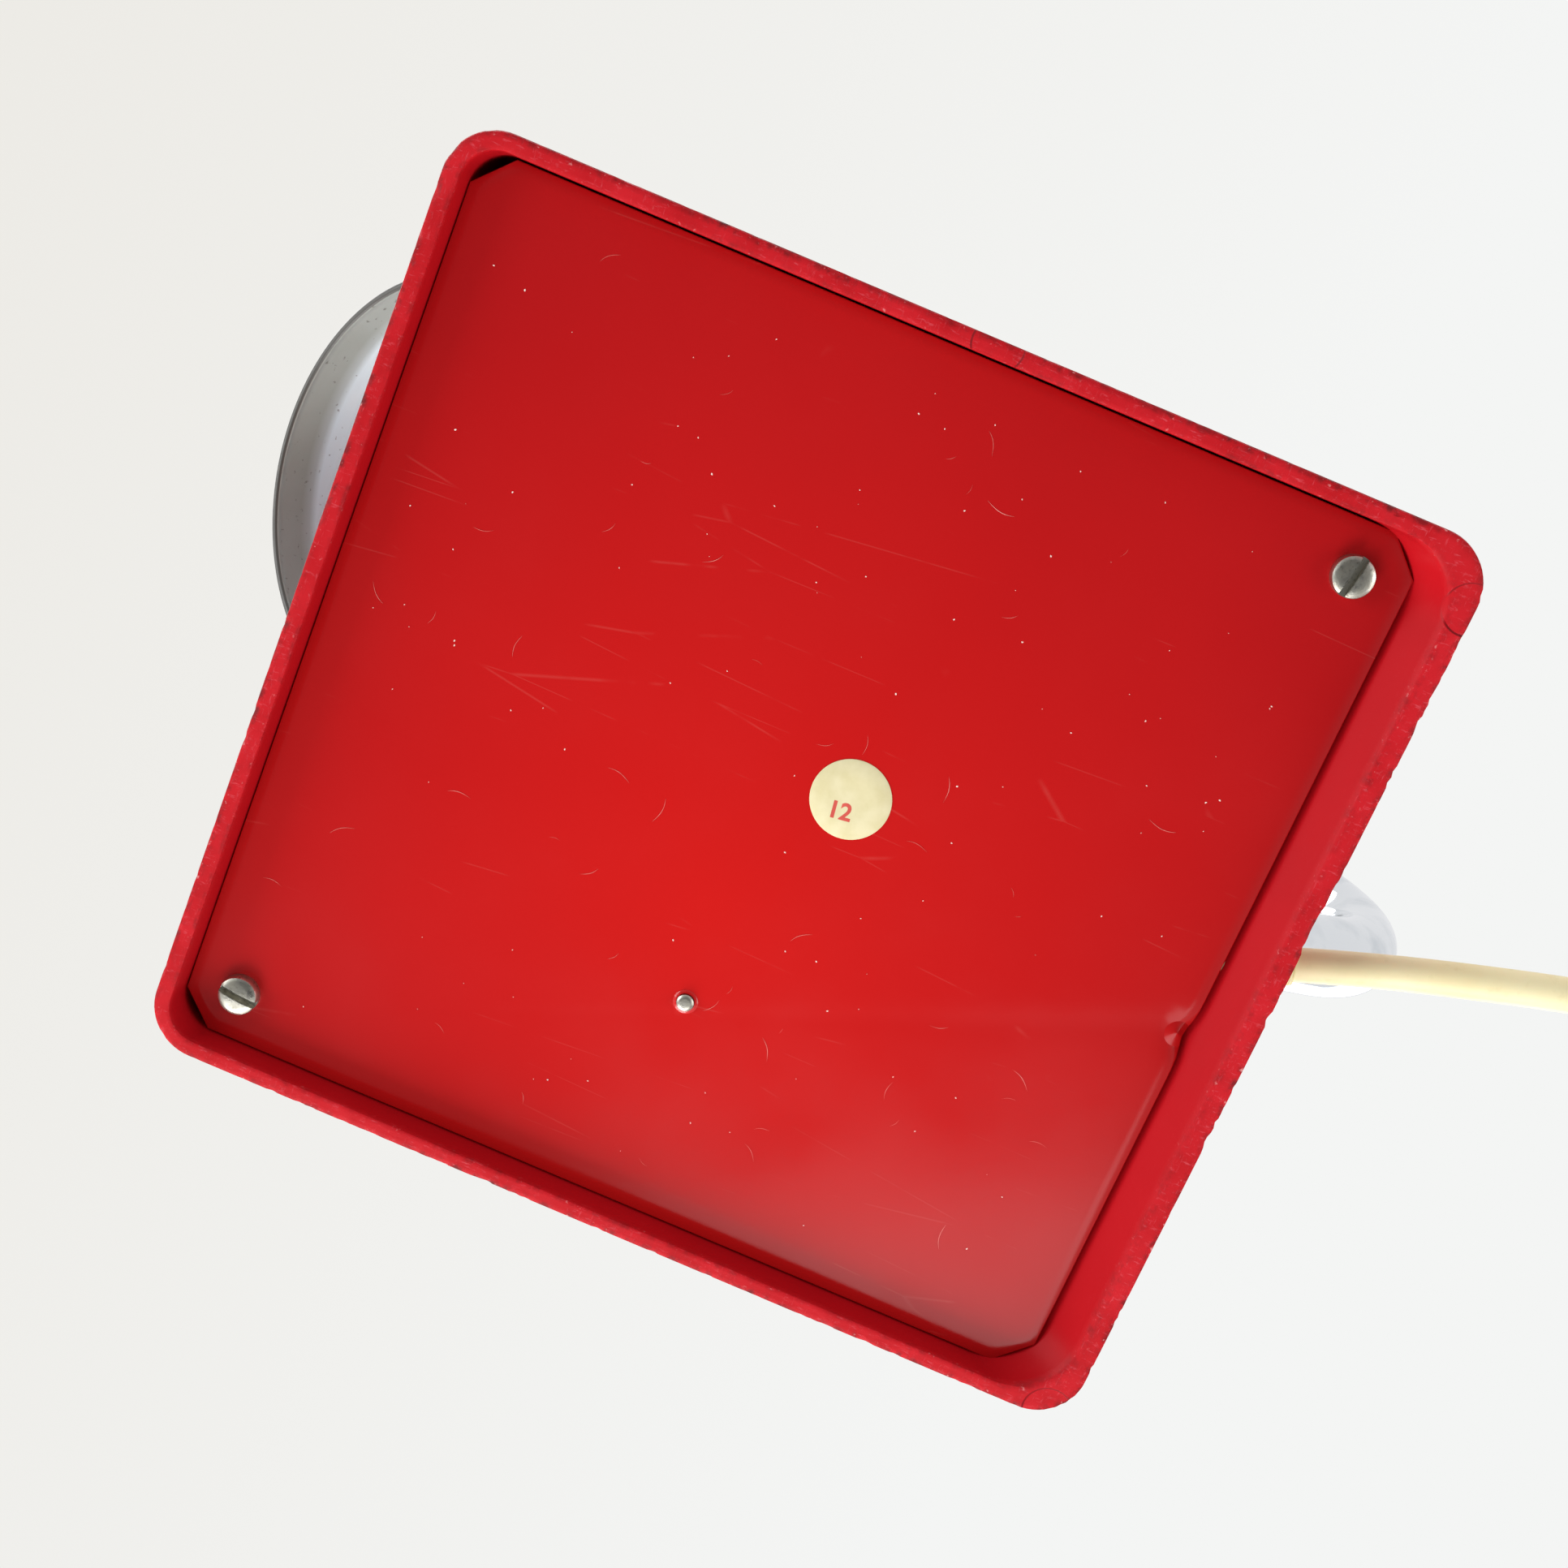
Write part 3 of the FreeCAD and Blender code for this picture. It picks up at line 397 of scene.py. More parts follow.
def makePlateLacquer(marks):
    # sprayed lacquer on sheet steel: glossy, gentle waves of the sheet about 40 mm apart, fine handling
    # marks, and a painted brighter middle that stands in for reflected light
    material, tree, shader, place = startMaterial("redLacquer")
    cloud = patchMask(tree, place, 60, 3.0, 0.3, 0.7)
    slewed = addNode(tree, "ShaderNodeMapping", {
        "Vector": place, "Rotation": (0, 0, marks["scratchTurn"]), "Scale": (1, 0.12, 1)}).outputs[0]
    cells = addNode(tree, "ShaderNodeTexVoronoi", {
        "Vector": slewed, "Scale": 1 / (marks["scratchCell"] * mm)}, feature="DISTANCE_TO_EDGE")
    lines = addNode(tree, "ShaderNodeMapRange", {
        "Value": cells.outputs["Distance"], "From Min": 0.012, "From Max": 0.0}).outputs["Result"]
    hairs = multiplied(tree, lines, patchMask(tree, place, 14, 3.0, 0.56, 0.64, 0, 0.1))
    # painted reflection: a soft brighter disc over the middle of the plate
    paintedLightMiddle = multiplied(tree, spotMask(tree, place, *marks["paintedLitMiddle"]), 0.9)
    base = layColours(tree, "#A51014", (cloud, "#AD1417"), (paintedLightMiddle, "#CB1815"), (hairs, "#E08076"))
    smear = patchMask(tree, place, 22, 5.0, 0.35, 0.7)
    setSurface(tree, shader, base, smear, (0.13, 0.2), reliefs=[
        (patternNoise(tree, place, 45, 1.0), 0.15), (spotMask(tree, place, *marks["dent"]), 0.7),
        (patternNoise(tree, place, 1.3, 2.0), 0.006)])
    return material


finishes["nickel_screws"] = makeNickel()
finishes["chrome"] = makeChrome()
finishes["cream_pvc"] = makeFlexSheath()
finishes["red_glass"] = makeLampGlass()
finishes["grey_enamel"] = makeShadeEnamel()
finishes["red_abs"] = makeHousingAbs(housingMarks)
finishes["red_lacquer"] = makePlateLacquer(lacquerMarks)
# printing ink on the label, and the dust and hair marks on the plate
ink = plainFinish("redInk", ("#C4453A", "#D25548"), (0.7, 0.85), 0, 2, 0.3, 0.004)
dust = plainFinish("paleDust", ("#E6A79C", "#F3DCD2"), (0.7, 0.9), 0, 3, 0.4, 0.01)
hairMark = plainFinish("hairScratch", ("#D4524A", "#E08278"), (0.45, 0.6), 0, 3, 0.4, 0.004)
print("materials mixed", len(finishes))

for node in frame["record"]["subparts"]:
    shown = frame["nodes"][node["node"]]
    shown.data.materials.clear()
    shown.data.materials.append(finishes[node["material_slot"]])


# mesh helpers


def newPiece(name, mesh, slotName, body, replaced=(), material=None, smoothDeg=35):
    piece = bpy.data.objects.new(name, mesh)
    bpy.context.scene.collection.objects.link(piece)
    mesh.materials.clear()
    mesh.materials.append(material or finishes[slotName])
    mesh.shade_smooth()
    mesh.set_sharp_from_angle(angle=math.radians(smoothDeg))
    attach(piece, body)
    if replaced:
        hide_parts(*replaced)
    return piece


def meshFrom(name, verts, faces, join=1e-7):
    # a mesh from points in millimetres; those nearer than join metres are made one, and faces turned outwards
    mesh = bpy.data.meshes.new(name)
    mesh.from_pydata([tuple(Vector(v) * mm) for v in verts], [], faces)
    bm = bmesh.new()
    bm.from_mesh(mesh)
    if join:
        bmesh.ops.remove_doubles(bm, verts=bm.verts, dist=join)
    bmesh.ops.recalc_face_normals(bm, faces=bm.faces)
    bm.to_mesh(mesh)
    bm.free()
    return mesh


def loftLoops(loops, closed=False, capFirst=False, capLast=False):
    # rings of equal length joined by quads
    n = len(loops[0])
    verts = [v for loop in loops for v in loop]
    faces = []
    for k in range(len(loops) if closed else len(loops) - 1):
        a = k * n
        b = ((k + 1) % len(loops)) * n
        faces += [(a + i, a + (i + 1) % n, b + (i + 1) % n, b + i) for i in range(n)]
    if capFirst:
        faces.append(tuple(range(n)))
    if capLast:
        faces.append(tuple((len(loops) - 1) * n + i for i in range(n)))
    return verts, faces


headSet = {"tilt": 34.5, "mouth": (0, -105.0375, 133.9979)}      # the shade's mouth, and how far it is tipped
headPlace = Matrix.Translation(headSet["mouth"]) @ Matrix.Rotation(math.radians(-headSet["tilt"]), 4, "X")


def turned(name, outline, place=headPlace, segments=96):
    # an outline of (radius, height) turned into a closed or open-ended mesh, then put in place
    closed = outline[0] == outline[-1]
    rows = outline[:-1] if closed else outline
    loops = []
    for r, z in rows:
        loops.append([place @ Vector((max(r, 1e-5) * math.cos(2 * math.pi * i / segments),
                                      max(r, 1e-5) * math.sin(2 * math.pi * i / segments), z))
                      for i in range(segments)])
    return meshFrom(name, *loftLoops(loops, closed), join=2e-7)


def arcOutline(cx, cz, radius, startDeg, endDeg, steps):
    out = []
    for i in range(steps + 1):
        a = math.radians(startDeg + (endDeg - startDeg) * i / steps)
        out.append((cx + radius * math.cos(a), cz + radius * math.sin(a)))
    return out


def cutAway(piece, cutters, added=()):
    # exact booleans, what is added first, then back to a plain mesh
    for other, operation in [(a, "UNION") for a in added] + [(c, "DIFFERENCE") for c in cutters]:
        modifier = piece.modifiers.new(other.name, "BOOLEAN")
        modifier.operation = operation
        modifier.solver = "EXACT"
        modifier.object = other
    graph = bpy.context.evaluated_depsgraph_get()
    mesh = bpy.data.meshes.new_from_object(piece.evaluated_get(graph))
    piece.modifiers.clear()
    for other in [*added, *cutters]:
        bpy.data.objects.remove(other)
    return mesh


def looseObject(name, mesh):
    loose = bpy.data.objects.new(name, mesh)
    bpy.context.scene.collection.objects.link(loose)
    return loose


# base housing

housingSet = {
    "depth": 175.0, "width": 165.0, "height": 50.0, "wall": 3.0, "corner": 9.0, "topEdge": 5.0,
    "draft": 1.0, "rearSlope": 36.0, "rimRound": 0.75, "sidePoints": 150, "cornerPoints": 14,
    "wearDepth": 0.45, "rearCornerExtra": 5.5,
    "dip": (16.5, 3.5, 0.9),      # a worn dip in the rear rim: its place, half width and share of the wear
    # posts behind the plate: two take its screws, two press on it, two carry the terminal block and the clip
    "posts": [(70.2, 68.6, 4.5, 7.5), (-70.2, -74.8, 4.5, 7.5), (-70.2, 68.6, 3.5, 7.5),
              (70.2, -74.8, 3.5, 7.5), (-5.0, 35.0, 3.5, 20.0), (-17.0, 53.5, 3.5, 15.0)],
    "postHoles": [(2.05, 12.1), (2.05, 12.1), None, None, (1.3, 9.0), (1.3, 9.0)],
    "switchHole": ((38.9, -33.6, 40), (51.1, -6.4, 60)), "armHole": 8.1, "leadHole": 3.8,
    "armFace": (0, 66.5737, 28.8025),      # where the arm's line meets the slanted face
    "leadBoss": (5.8, 73.0, 83.0, 80.6, 7.7),     # radius, ends along Y, and the part cut away for the plate
}


def housingLoop(s, inset, z, frontRadius, rearRadius):
    # one ring of the housing at height z, drawn in from the outside faces
    slope = math.radians(s["rearSlope"])
    lean = z * math.tan(math.radians(s["draft"]))
    x = s["width"] / 2 - inset - lean
    front = -s["depth"] / 2 + inset + lean
    rear = s["depth"] / 2 - inset / math.cos(slope) - z * math.tan(slope)
    r = rearRadius
    f = frontRadius
    corners = [((x - r, rear - r), 0, r), ((-x + r, rear - r), 90, r), ((-x + f, front + f), 180, f),
               ((x - f, front + f), 270, f)]
    points = []
    for k, ((cx, cy), start, radius) in enumerate(corners):
        for i in range(s["cornerPoints"] + 1):
            a = math.radians(start + 90 * i / s["cornerPoints"])
            points.append(Vector((cx + radius * math.cos(a), cy + radius * math.sin(a), z)))
        (nx, ny), nextStart, nextRadius = corners[(k + 1) % 4]
        a = math.radians(nextStart)
        target = Vector((nx + nextRadius * math.cos(a), ny + nextRadius * math.sin(a), z))
        origin = points[-1].copy()
        for i in range(1, s["sidePoints"]):
            points.append(origin.lerp(target, i / s["sidePoints"]))
    return points


def makeHousing(s):
    rows = []        # inset, height, corner radius, edge marks, rim
    w = s["wall"]
    c = s["corner"]
    e = s["rimRound"]
    top = s["height"] - s["topEdge"]
    for k in range(6):
        a = math.radians(90 - 18 * k)
        d = s["topEdge"] * (1 - math.cos(a))
        rows.append((d, top + s["topEdge"] * math.sin(a), max(4.0, c - d), 0, 0))
    rows += [(0, 30, c, 0, 0), (0, 12, c, 0, 0), (0, 3.2, c, 0, 0), (0, 1.8, c, 0.45, 0.1)]
    rows += [(0, e, c, 1, 0.4), (e * 0.29, e * 0.29, c, 1, 0.8), (e, 0, c - e, 0.8, 1)]
    rows += [(e + 0.5, 0, c - e - 0.5, 0.15, 1), (w - 0.9, 0, c - w + 0.9, 0.1, 1)]
    rows += [(w - 0.4, 0, c - w + 0.4, 0.5, 1), (w - 0.1, 0.12, c - w + 0.1, 0.5, 0.8)]
    rows += [(w, z, c - w, wear, rim) for z, wear, rim in (
        (0.5, 0.3, 0.35), (1.4, 0, 0.08), (5, 0, 0.05), (20, 0, 0), (s["height"] - w - 0.6, 0, 0))]
    loops = []
    for inset, z, radius, wear, rim in rows:
        # the rear corners are thicker inside than the front ones
        extra = s["rearCornerExtra"] * min(1.0, max(0.0, inset - s["rimRound"]) / (w - s["rimRound"]))
        isInner = inset > 0 and z < top - 5
        loops.append(housingLoop(s, inset, z, radius, radius + (extra if isInner else 0)))
    dipAt, dipHalf, dipShare = s["dip"]
    for loop, (inset, z, radius, wear, rim) in zip(loops, rows):
        if z > 1.0 or inset > 1.0:
            continue
        for p in loop:
            rough = noise.fractal(p * 0.42, 0.9, 2.1, 4)
            chip = max(0.0, rough - 0.28) * 1.5 + max(0.0, noise.noise(p * 1.3) - 0.25) * 0.35
            if p.y > 80:
                chip += dipShare * math.exp(-((p.x - dipAt) / dipHalf) ** 2)
            inward = -Vector((p.x, p.y, 0)).normalized()
            p += inward * min(chip, 1.0) * s["wearDepth"] * (1.0 if z < 0.6 else 0.5)
            if z < 0.6:
                p.z += min(chip, 1.0) * 0.25
    mesh = meshFrom("housingShell", *loftLoops(loops, capFirst=True, capLast=True), join=0)
    n = len(loops[0])
    for name, index in (("edge", 3), ("rim", 4)):
        layer = mesh.attributes.new(name, "FLOAT", "POINT")
        layer.data.foreach_set("value", [float(row[index]) for row in rows for i in range(n)])
    return mesh


def boxMesh(name, low, high):
    (a, b, c), (d, e, f) = low, high
    verts = [(x, y, z) for x in (a, d) for y in (b, e) for z in (c, f)]
    faces = [(0, 1, 3, 2), (4, 6, 7, 5), (0, 4, 5, 1), (2, 3, 7, 6), (0, 2, 6, 4), (1, 5, 7, 3)]
    return meshFrom(name, verts, faces)


def rodMesh(name, start, end, radius, segments=64):
    way = Vector(end) - Vector(start)
    place = Matrix.Translation(start) @ way.to_track_quat("Z", "Y").to_matrix().to_4x4()
    loops = [[place @ Vector((radius * math.cos(2 * math.pi * i / segments),
                              radius * math.sin(2 * math.pi * i / segments), z)) for i in range(segments)]
             for z in (0, way.length)]
    return meshFrom(name, *loftLoops(loops, capFirst=True, capLast=True))


def postMesh(s, x, y, radius, low):
    # a post from its low end up into the middle of the top, or of the sloping rear wall
    slope = math.radians(s["rearSlope"])
    half = s["wall"] / 2
    loops = [[], []]
    for i in range(48):
        a = 2 * math.pi * i / 48
        px, py = x + radius * math.cos(a), y + radius * math.sin(a)
        roof = min(s["height"] - half, (s["depth"] / 2 - half / math.cos(slope) - py) / math.tan(slope))
        loops[0].append(Vector((px, py, low)))
        loops[1].append(Vector((px, py, roof)))
    return meshFrom("platePost", *loftLoops(loops, capFirst=True, capLast=True))


def leadBossMesh(s):
    # the lead's boss on the sloping wall, square to the rim behind and turned with the lead
    radius, start, end = s["leadBoss"][:3]
    side = leadWay.cross(Vector((0, 0, 1)))
    loops = [[], []]
    for i in range(48):
        a = 2 * math.pi * i / 48
        p = leadExit + side * radius * math.cos(a) + Vector((0, 0, radius * math.sin(a)))
        for loop, y in zip(loops, (start, end)):
            loop.append(p + leadWay * (y - p.y) / leadWay.y)
    return meshFrom("leadBoss", *loftLoops(loops, capFirst=True, capLast=True))


slope = math.radians(housingSet["rearSlope"])
rearWay = Vector((0, math.cos(slope), math.sin(slope)))
armFace = Vector(housingSet["armFace"])
leadExit = Vector(leadSet["route"][0])
leadTurn = math.radians(leadSet["exitTurn"])
leadWay = Vector((math.sin(leadTurn), math.cos(leadTurn), 0))

shell = looseObject("shellBlank", makeHousing(housingSet))
cutters = [
    looseObject("switchHole", boxMesh("switchHole", *housingSet["switchHole"])),
    looseObject("armHole", rodMesh("armHole", armFace - rearWay * 12, armFace + rearWay * 12,
                                   housingSet["armHole"])),
    looseObject("leadHole", rodMesh("leadHole", leadExit - leadWay * 24, leadExit + leadWay * 6,
                                    housingSet["leadHole"])),
]
posts = [looseObject("platePost", postMesh(housingSet, *post)) for post in housingSet["posts"]]
for (x, y, radius, low), hole in zip(housingSet["posts"], housingSet["postHoles"]):
    if hole:
        drill = rodMesh("postHole", (x, y, low - 1), (x, y, low + hole[1]), hole[0])
        cutters.append(looseObject("postHole", drill))
boss = looseObject("leadBossBlank", leadBossMesh(housingSet))
plateRoom = looseObject("plateRoom", boxMesh("plateRoom", (-30, -20, 0), (30, *housingSet["leadBoss"][3:])))
posts.append(looseObject("leadBoss", cutAway(boss, [plateRoom])))
bpy.data.objects.remove(boss)
housingMesh = cutAway(shell, cutters, posts)
bpy.data.objects.remove(shell)
newPiece("housing", housingMesh, "red_abs", "base", ("base_housing",), smoothDeg=40)
print("housing made", len(housingMesh.polygons))

# bottom plate with its screws, label, dust and scratches

plateSet = {
    "low": 6.0, "thick": 1.5, "halfX": 79.07, "front": -84.2, "rear": 77.925, "corner": 5.9, "round": 0.35,
    "dent": (-10.6, 1.0, 3.0),
    "screws": [(70.2, 68.6, 9.0), (-70.2, -74.8, 96.0)],
}


def plateLoop(s, inset, z, curl, free):
    # one ring of the plate; free is how far it follows the dent and the sheet's slight wave
    x = s["halfX"] - inset
    lo = s["front"] + inset
    hi = s["rear"] - inset
    c = s["corner"] - inset * 0.41
    corners = [(x - c, lo), (x, lo + c), (x, hi - c), (x - c, hi)]
    corners += [(-px, py) for px, py in reversed(corners)]
    points = []
    for k, start in enumerate(corners):
        end = corners[(k + 1) % 8]
        count = 8 if k % 2 == 0 else 80
        for i in range(count):
            p = Vector((*start, z)).lerp(Vector((*end, z)), i / count)
            if p.y > hi - 0.5:
                near = math.exp(-((p.x - s["dent"][0]) / s["dent"][2]) ** 2)
                p.y -= near * s["dent"][1] * 0.6 * free
                p.z += near * s["dent"][1] * curl * free
            p.z += 0.10 * noise.noise(Vector((p.x, p.y, 0)) * 0.03) * free
            points.append(p)
    return points


def makePlate(s):
    z0 = s["low"]
    z1 = z0 + s["thick"]
    e = s["round"]
    rows = [(5.5, z0, 0, 0), (2.2, z0, 0.3, 1), (e, z0, 0.8, 1), (e * 0.3, z0 + e * 0.3, 1, 1)]
    rows += [(0, z0 + e, 1, 1), (0, z1 - e, 1, 1), (e, z1, 0.8, 1), (5.5, z1, 0, 0)]
    loops = [plateLoop(s, *row) for row in rows]
    return meshFrom("plate", *loftLoops(loops, capFirst=True, capLast=True), join=0)


newPiece("bottomPlate", makePlate(plateSet), "red_lacquer", "base", ("bottom_plate",))


def setTree(name, extra):
    # a tree that puts one blank on each point of the mesh it is given
    tree = bpy.data.node_groups.new(name, "GeometryNodeTree")
    tree.interface.new_socket("Geometry", in_out="INPUT", socket_type="NodeSocketGeometry")
    for label, kind in [("Blank", "NodeSocketObject"), ("Finish", "NodeSocketMaterial")] + extra:
        tree.interface.new_socket(label, in_out="INPUT", socket_type=kind)
    tree.interface.new_socket("Geometry", in_out="OUTPUT", socket_type="NodeSocketGeometry")
    return tree, addNode(tree, "NodeGroupInput"), addNode(tree, "NodeGroupOutput")


def finishTree(tree, geometry, finishSocket, output):
    real = addNode(tree, "GeometryNodeRealizeInstances", {"Geometry": geometry})
    done = addNode(tree, "GeometryNodeSetMaterial", {"Geometry": real.outputs[0], "Material": finishSocket})
    tree.links.new(done.outputs[0], output.inputs[0])


def pointSetTree():
    tree, entry, output = setTree("setOnPoints", [])
    blank = addNode(tree, "GeometryNodeObjectInfo", {"Object": entry.outputs["Blank"]})
    turn = addNode(tree, "GeometryNodeInputNamedAttribute", {"Name": "turn"}, data_type="FLOAT_VECTOR")
    placed = addNode(tree, "GeometryNodeInstanceOnPoints", {
        "Points": entry.outputs["Geometry"], "Instance": blank.outputs["Geometry"],
        "Rotation": turn.outputs[0]})
    finishTree(tree, placed.outputs[0], entry.outputs["Finish"], output)
    return tree


def scatterTree():
    tree, entry, output = setTree("scatterMarks", [
        ("Density", "NodeSocketFloat"), ("Seed", "NodeSocketInt"), ("Smallest", "NodeSocketFloat"),
        ("Largest", "NodeSocketFloat")])
    blank = addNode(tree, "GeometryNodeObjectInfo", {"Object": entry.outputs["Blank"]})
    seed = entry.outputs["Seed"]
    spread = addNode(tree, "GeometryNodeDistributePointsOnFaces", {
        "Mesh": entry.outputs["Geometry"], "Density": entry.outputs["Density"], "Seed": seed})
    turn = addNode(tree, "FunctionNodeRandomValue", {
        "Min": (0, 0, 0), "Max": (0, 0, 2 * math.pi), "Seed": seed}, data_type="FLOAT_VECTOR")
    size = addNode(tree, "FunctionNodeRandomValue", {"Seed": seed}, data_type="FLOAT")
    floats = [i for i in size.inputs if i.type == "VALUE"]
    tree.links.new(entry.outputs["Smallest"], floats[0])
    tree.links.new(entry.outputs["Largest"], floats[1])
    sizeOut = next(o for o in size.outputs if o.type == "VALUE")
    placed = addNode(tree, "GeometryNodeInstanceOnPoints", {
        "Points": spread.outputs["Points"], "Instance": blank.outputs["Geometry"],
        "Rotation": turn.outputs[0], "Scale": sizeOut})
    finishTree(tree, placed.outputs[0], entry.outputs["Finish"], output)
    return tree


def runTree(base, tree, values):
    # sets the inputs by their identifiers, then turns the result into a plain mesh
    modifier = base.modifiers.new("make", "NODES")
    modifier.node_group = tree
    for item in tree.interface.items_tree:
        if item.item_type == "SOCKET" and item.in_out == "INPUT" and item.name in values:
            modifier[item.identifier] = values[item.name]
    base.update_tag()
    bpy.context.view_layer.update()
    graph = bpy.context.evaluated_depsgraph_get()
    mesh = bpy.data.meshes.new_from_object(base.evaluated_get(graph))
    base.modifiers.clear()
    bpy.data.objects.remove(base)
    return mesh


onPoints = pointSetTree()
scatter = scatterTree()


def pointCloud(name, places, turns):
    mesh = bpy.data.meshes.new(name)
    mesh.from_pydata([tuple(Vector(p) * mm) for p in places], [], [])
    layer = mesh.attributes.new("turn", "FLOAT_VECTOR", "POINT")
    layer.data.foreach_set("vector", [c for t in turns for c in t])
    return looseObject(name, mesh)


plateScrewSet = {"head": (3.5, 2.25), "crown": 0.35, "slot": (1.15, 1.3), "shank": (2.0, 12.0), "edge": 0.09}


def screwBlank(name, s):
    # a cheese head hanging below z 0 with a crowned face, its slot, and a plain shank above
    headRadius, headHeight = s["head"]
    slotWidth, slotDepth = s["slot"]
    shankRadius, shankLength = s["shank"]
    crown = s["crown"]
    outline = [(0, -headHeight - crown)]
    outline += [(headRadius * f, -headHeight - crown * (1 - f * f)) for f in (0.35, 0.6, 0.78)]
    outline += [(headRadius - 0.42, -headHeight), (headRadius - 0.15, -headHeight + 0.15)]
    outline += [(headRadius, -headHeight + 0.5), (headRadius, 0)]
    outline += [(shankRadius, 0), (shankRadius, shankLength), (0, shankLength)]
    head = looseObject("headBlank", turned("headBlank", outline, Matrix.Identity(4), 64))
    slot = looseObject("slotCut", boxMesh("slotCut", (-9, -slotWidth / 2, -headHeight - 2),
                                          (9, slotWidth / 2, -headHeight + slotDepth)))
    mesh = cutAway(head, [slot])
    bpy.data.objects.remove(head)
    bm = bmesh.new()
    bm.from_mesh(mesh)
    sharp = [e for e in bm.edges if e.is_manifold and e.calc_face_angle() > 0.9
             and all(v.co.z < -headHeight * mm * 0.75 for v in e.verts)]
    bmesh.ops.bevel(bm, geom=sharp, offset=s["edge"] * mm, segments=2, affect="EDGES")
    bm.to_mesh(mesh)
    bm.free()
    return looseObject(name, mesh)


plateScrewBlank = screwBlank("plateScrewBlank", plateScrewSet)
spots = pointCloud("plateScrewSpots", [(x, y, plateSet["low"]) for x, y, a in plateSet["screws"]],
                   [(0, 0, math.radians(a)) for x, y, a in plateSet["screws"]])
screwMesh = runTree(spots, onPoints, {"Blank": plateScrewBlank, "Finish": finishes["nickel_screws"]})
bpy.data.objects.remove(plateScrewBlank)
newPiece("plateScrews", screwMesh, "nickel_screws", "base", ("plate_screws",))

labelSet = {"at": (4.8, 9.9), "radius": 6.9, "thick": 0.13, "digits": "12", "digitHeight": 3.0,
            "digitsAt": (-2.6, -0.9), "baseline": (0.134, 0.991),
            "fontScale": 1.38,      # the font's size over the height of its digits
            "heavier": 0.11}        # how much the strokes are fattened


def makeLabel(s):
    low = plateSet["low"] - s["thick"]
    place = Matrix.Translation((s["at"][0], s["at"][1], 0))
    r = s["radius"]
    outline = [(0, low), (r * 0.5, low), (r - 0.08, low), (r, low + 0.05), (r, plateSet["low"] - 0.003),
               (0, plateSet["low"] - 0.003)]
    newPiece("label", turned("label", outline, place, 72), "label_paper", "base", ("sticker",))
    curve = bpy.data.curves.new("digits", "FONT")
    curve.body = s["digits"]
    curve.size = s["digitHeight"] * s["fontScale"] * mm
    curve.align_x = "CENTER"
    curve.align_y = "CENTER"
    curve.offset = s["heavier"] * mm
    text = looseObject("digitsCurve", curve)
    graph = bpy.context.evaluated_depsgraph_get()
    mesh = bpy.data.meshes.new_from_object(text.evaluated_get(graph))
    bpy.data.objects.remove(text)
    across = Vector((*s["baseline"], 0)).normalized()
    up = Vector((across.y, -across.x, 0))
    turn = Matrix((across, up, across.cross(up))).transposed().to_4x4()
    at = Vector((s["at"][0] + s["digitsAt"][0], s["at"][1] + s["digitsAt"][1], low - 0.004)) * mm
    mesh.transform(Matrix.Translation(at) @ turn)
    newPiece("labelDigits", mesh, "label_paper", "base", material=ink)


makeLabel(labelSet)

marksSet = {
    "margin": 8.0, "under": 0.035,      # how far marks keep off the plate's edges, and lie below its face
    "specks": {"size": 0.17, "density": 5200, "seed": 7, "range": (0.3, 1.2)},
    "hairs": {"length": 4.2, "width": 0.08, "density": 2300, "seed": 23, "range": (0.25, 1.2)},
}


def markArea(z):
    x = plateSet["halfX"] - marksSet["margin"]
    front = plateSet["front"] + marksSet["margin"]
    rear = plateSet["rear"] - marksSet["margin"]
    corners = [(-x, front, z), (x, front, z), (x, rear, z), (-x, rear, z)]
    return looseObject("markArea", meshFrom("markArea", corners, [(0, 3, 2, 1)]))


def speckBlank(size):
    points = [(size * (1 + 0.35 * math.sin(3 * a)) * math.cos(a), size * 0.7 * math.sin(a), 0)
              for a in [math.radians(45 * i) for i in range(8)]]
    verts = points + [(x * 0.6, y * 0.6, size * 0.18) for x, y, z in points]
    faces = [(i, (i + 1) % 8, 8 + (i + 1) % 8, 8 + i) for i in range(8)]
    faces += [tuple(range(8, 16)), tuple(reversed(range(8)))]
    return looseObject("speckBlank", meshFrom("speckBlank", verts, faces))


def hairBlank(length, width):
    # a flat bent sliver that tapers to both ends
    steps = 10
    loops = []
    for k in range(steps + 1):
        t = k / steps
        x = (t - 0.5) * length
        y = 0.16 * length * math.sin(t * 2.6)
        half = width / 2 * (0.15 + math.sin(math.pi * t))
        loops.append([Vector((x, y - half, 0)), Vector((x, y + half, 0)), Vector((x, y, width * 0.25))])
    return looseObject("hairBlank", meshFrom("hairBlank", *loftLoops(loops, capFirst=True, capLast=True)))


def scatterMarks(name, blank, s, finish):
    area = markArea(plateSet["low"] - marksSet["under"])
    mesh = runTree(area, scatter, {
        "Blank": blank, "Finish": finish, "Density": float(s["density"]), "Seed": s["seed"],
        "Smallest": s["range"][0], "Largest": s["range"][1]})
    bpy.data.objects.remove(blank)
    newPiece(name, mesh, "red_lacquer", "base", material=finish)
    print(name, len(mesh.polygons))


specks = marksSet["specks"]
hairs = marksSet["hairs"]
scatterMarks("plateSpecks", speckBlank(specks["size"]), specks, dust)
scatterMarks("plateHairs", hairBlank(hairs["length"], hairs["width"]), hairs, hairMark)


ballastScrewSet = {
    "end": (-39.5, -2.3, 1.5, 1.0),      # its axis, its radius, and how far it stands below the plate
    "seat": 21.5, "head": (2.75, 2.0), "slot": (1.2, 1.2), "slotTurn": 30.0,
}


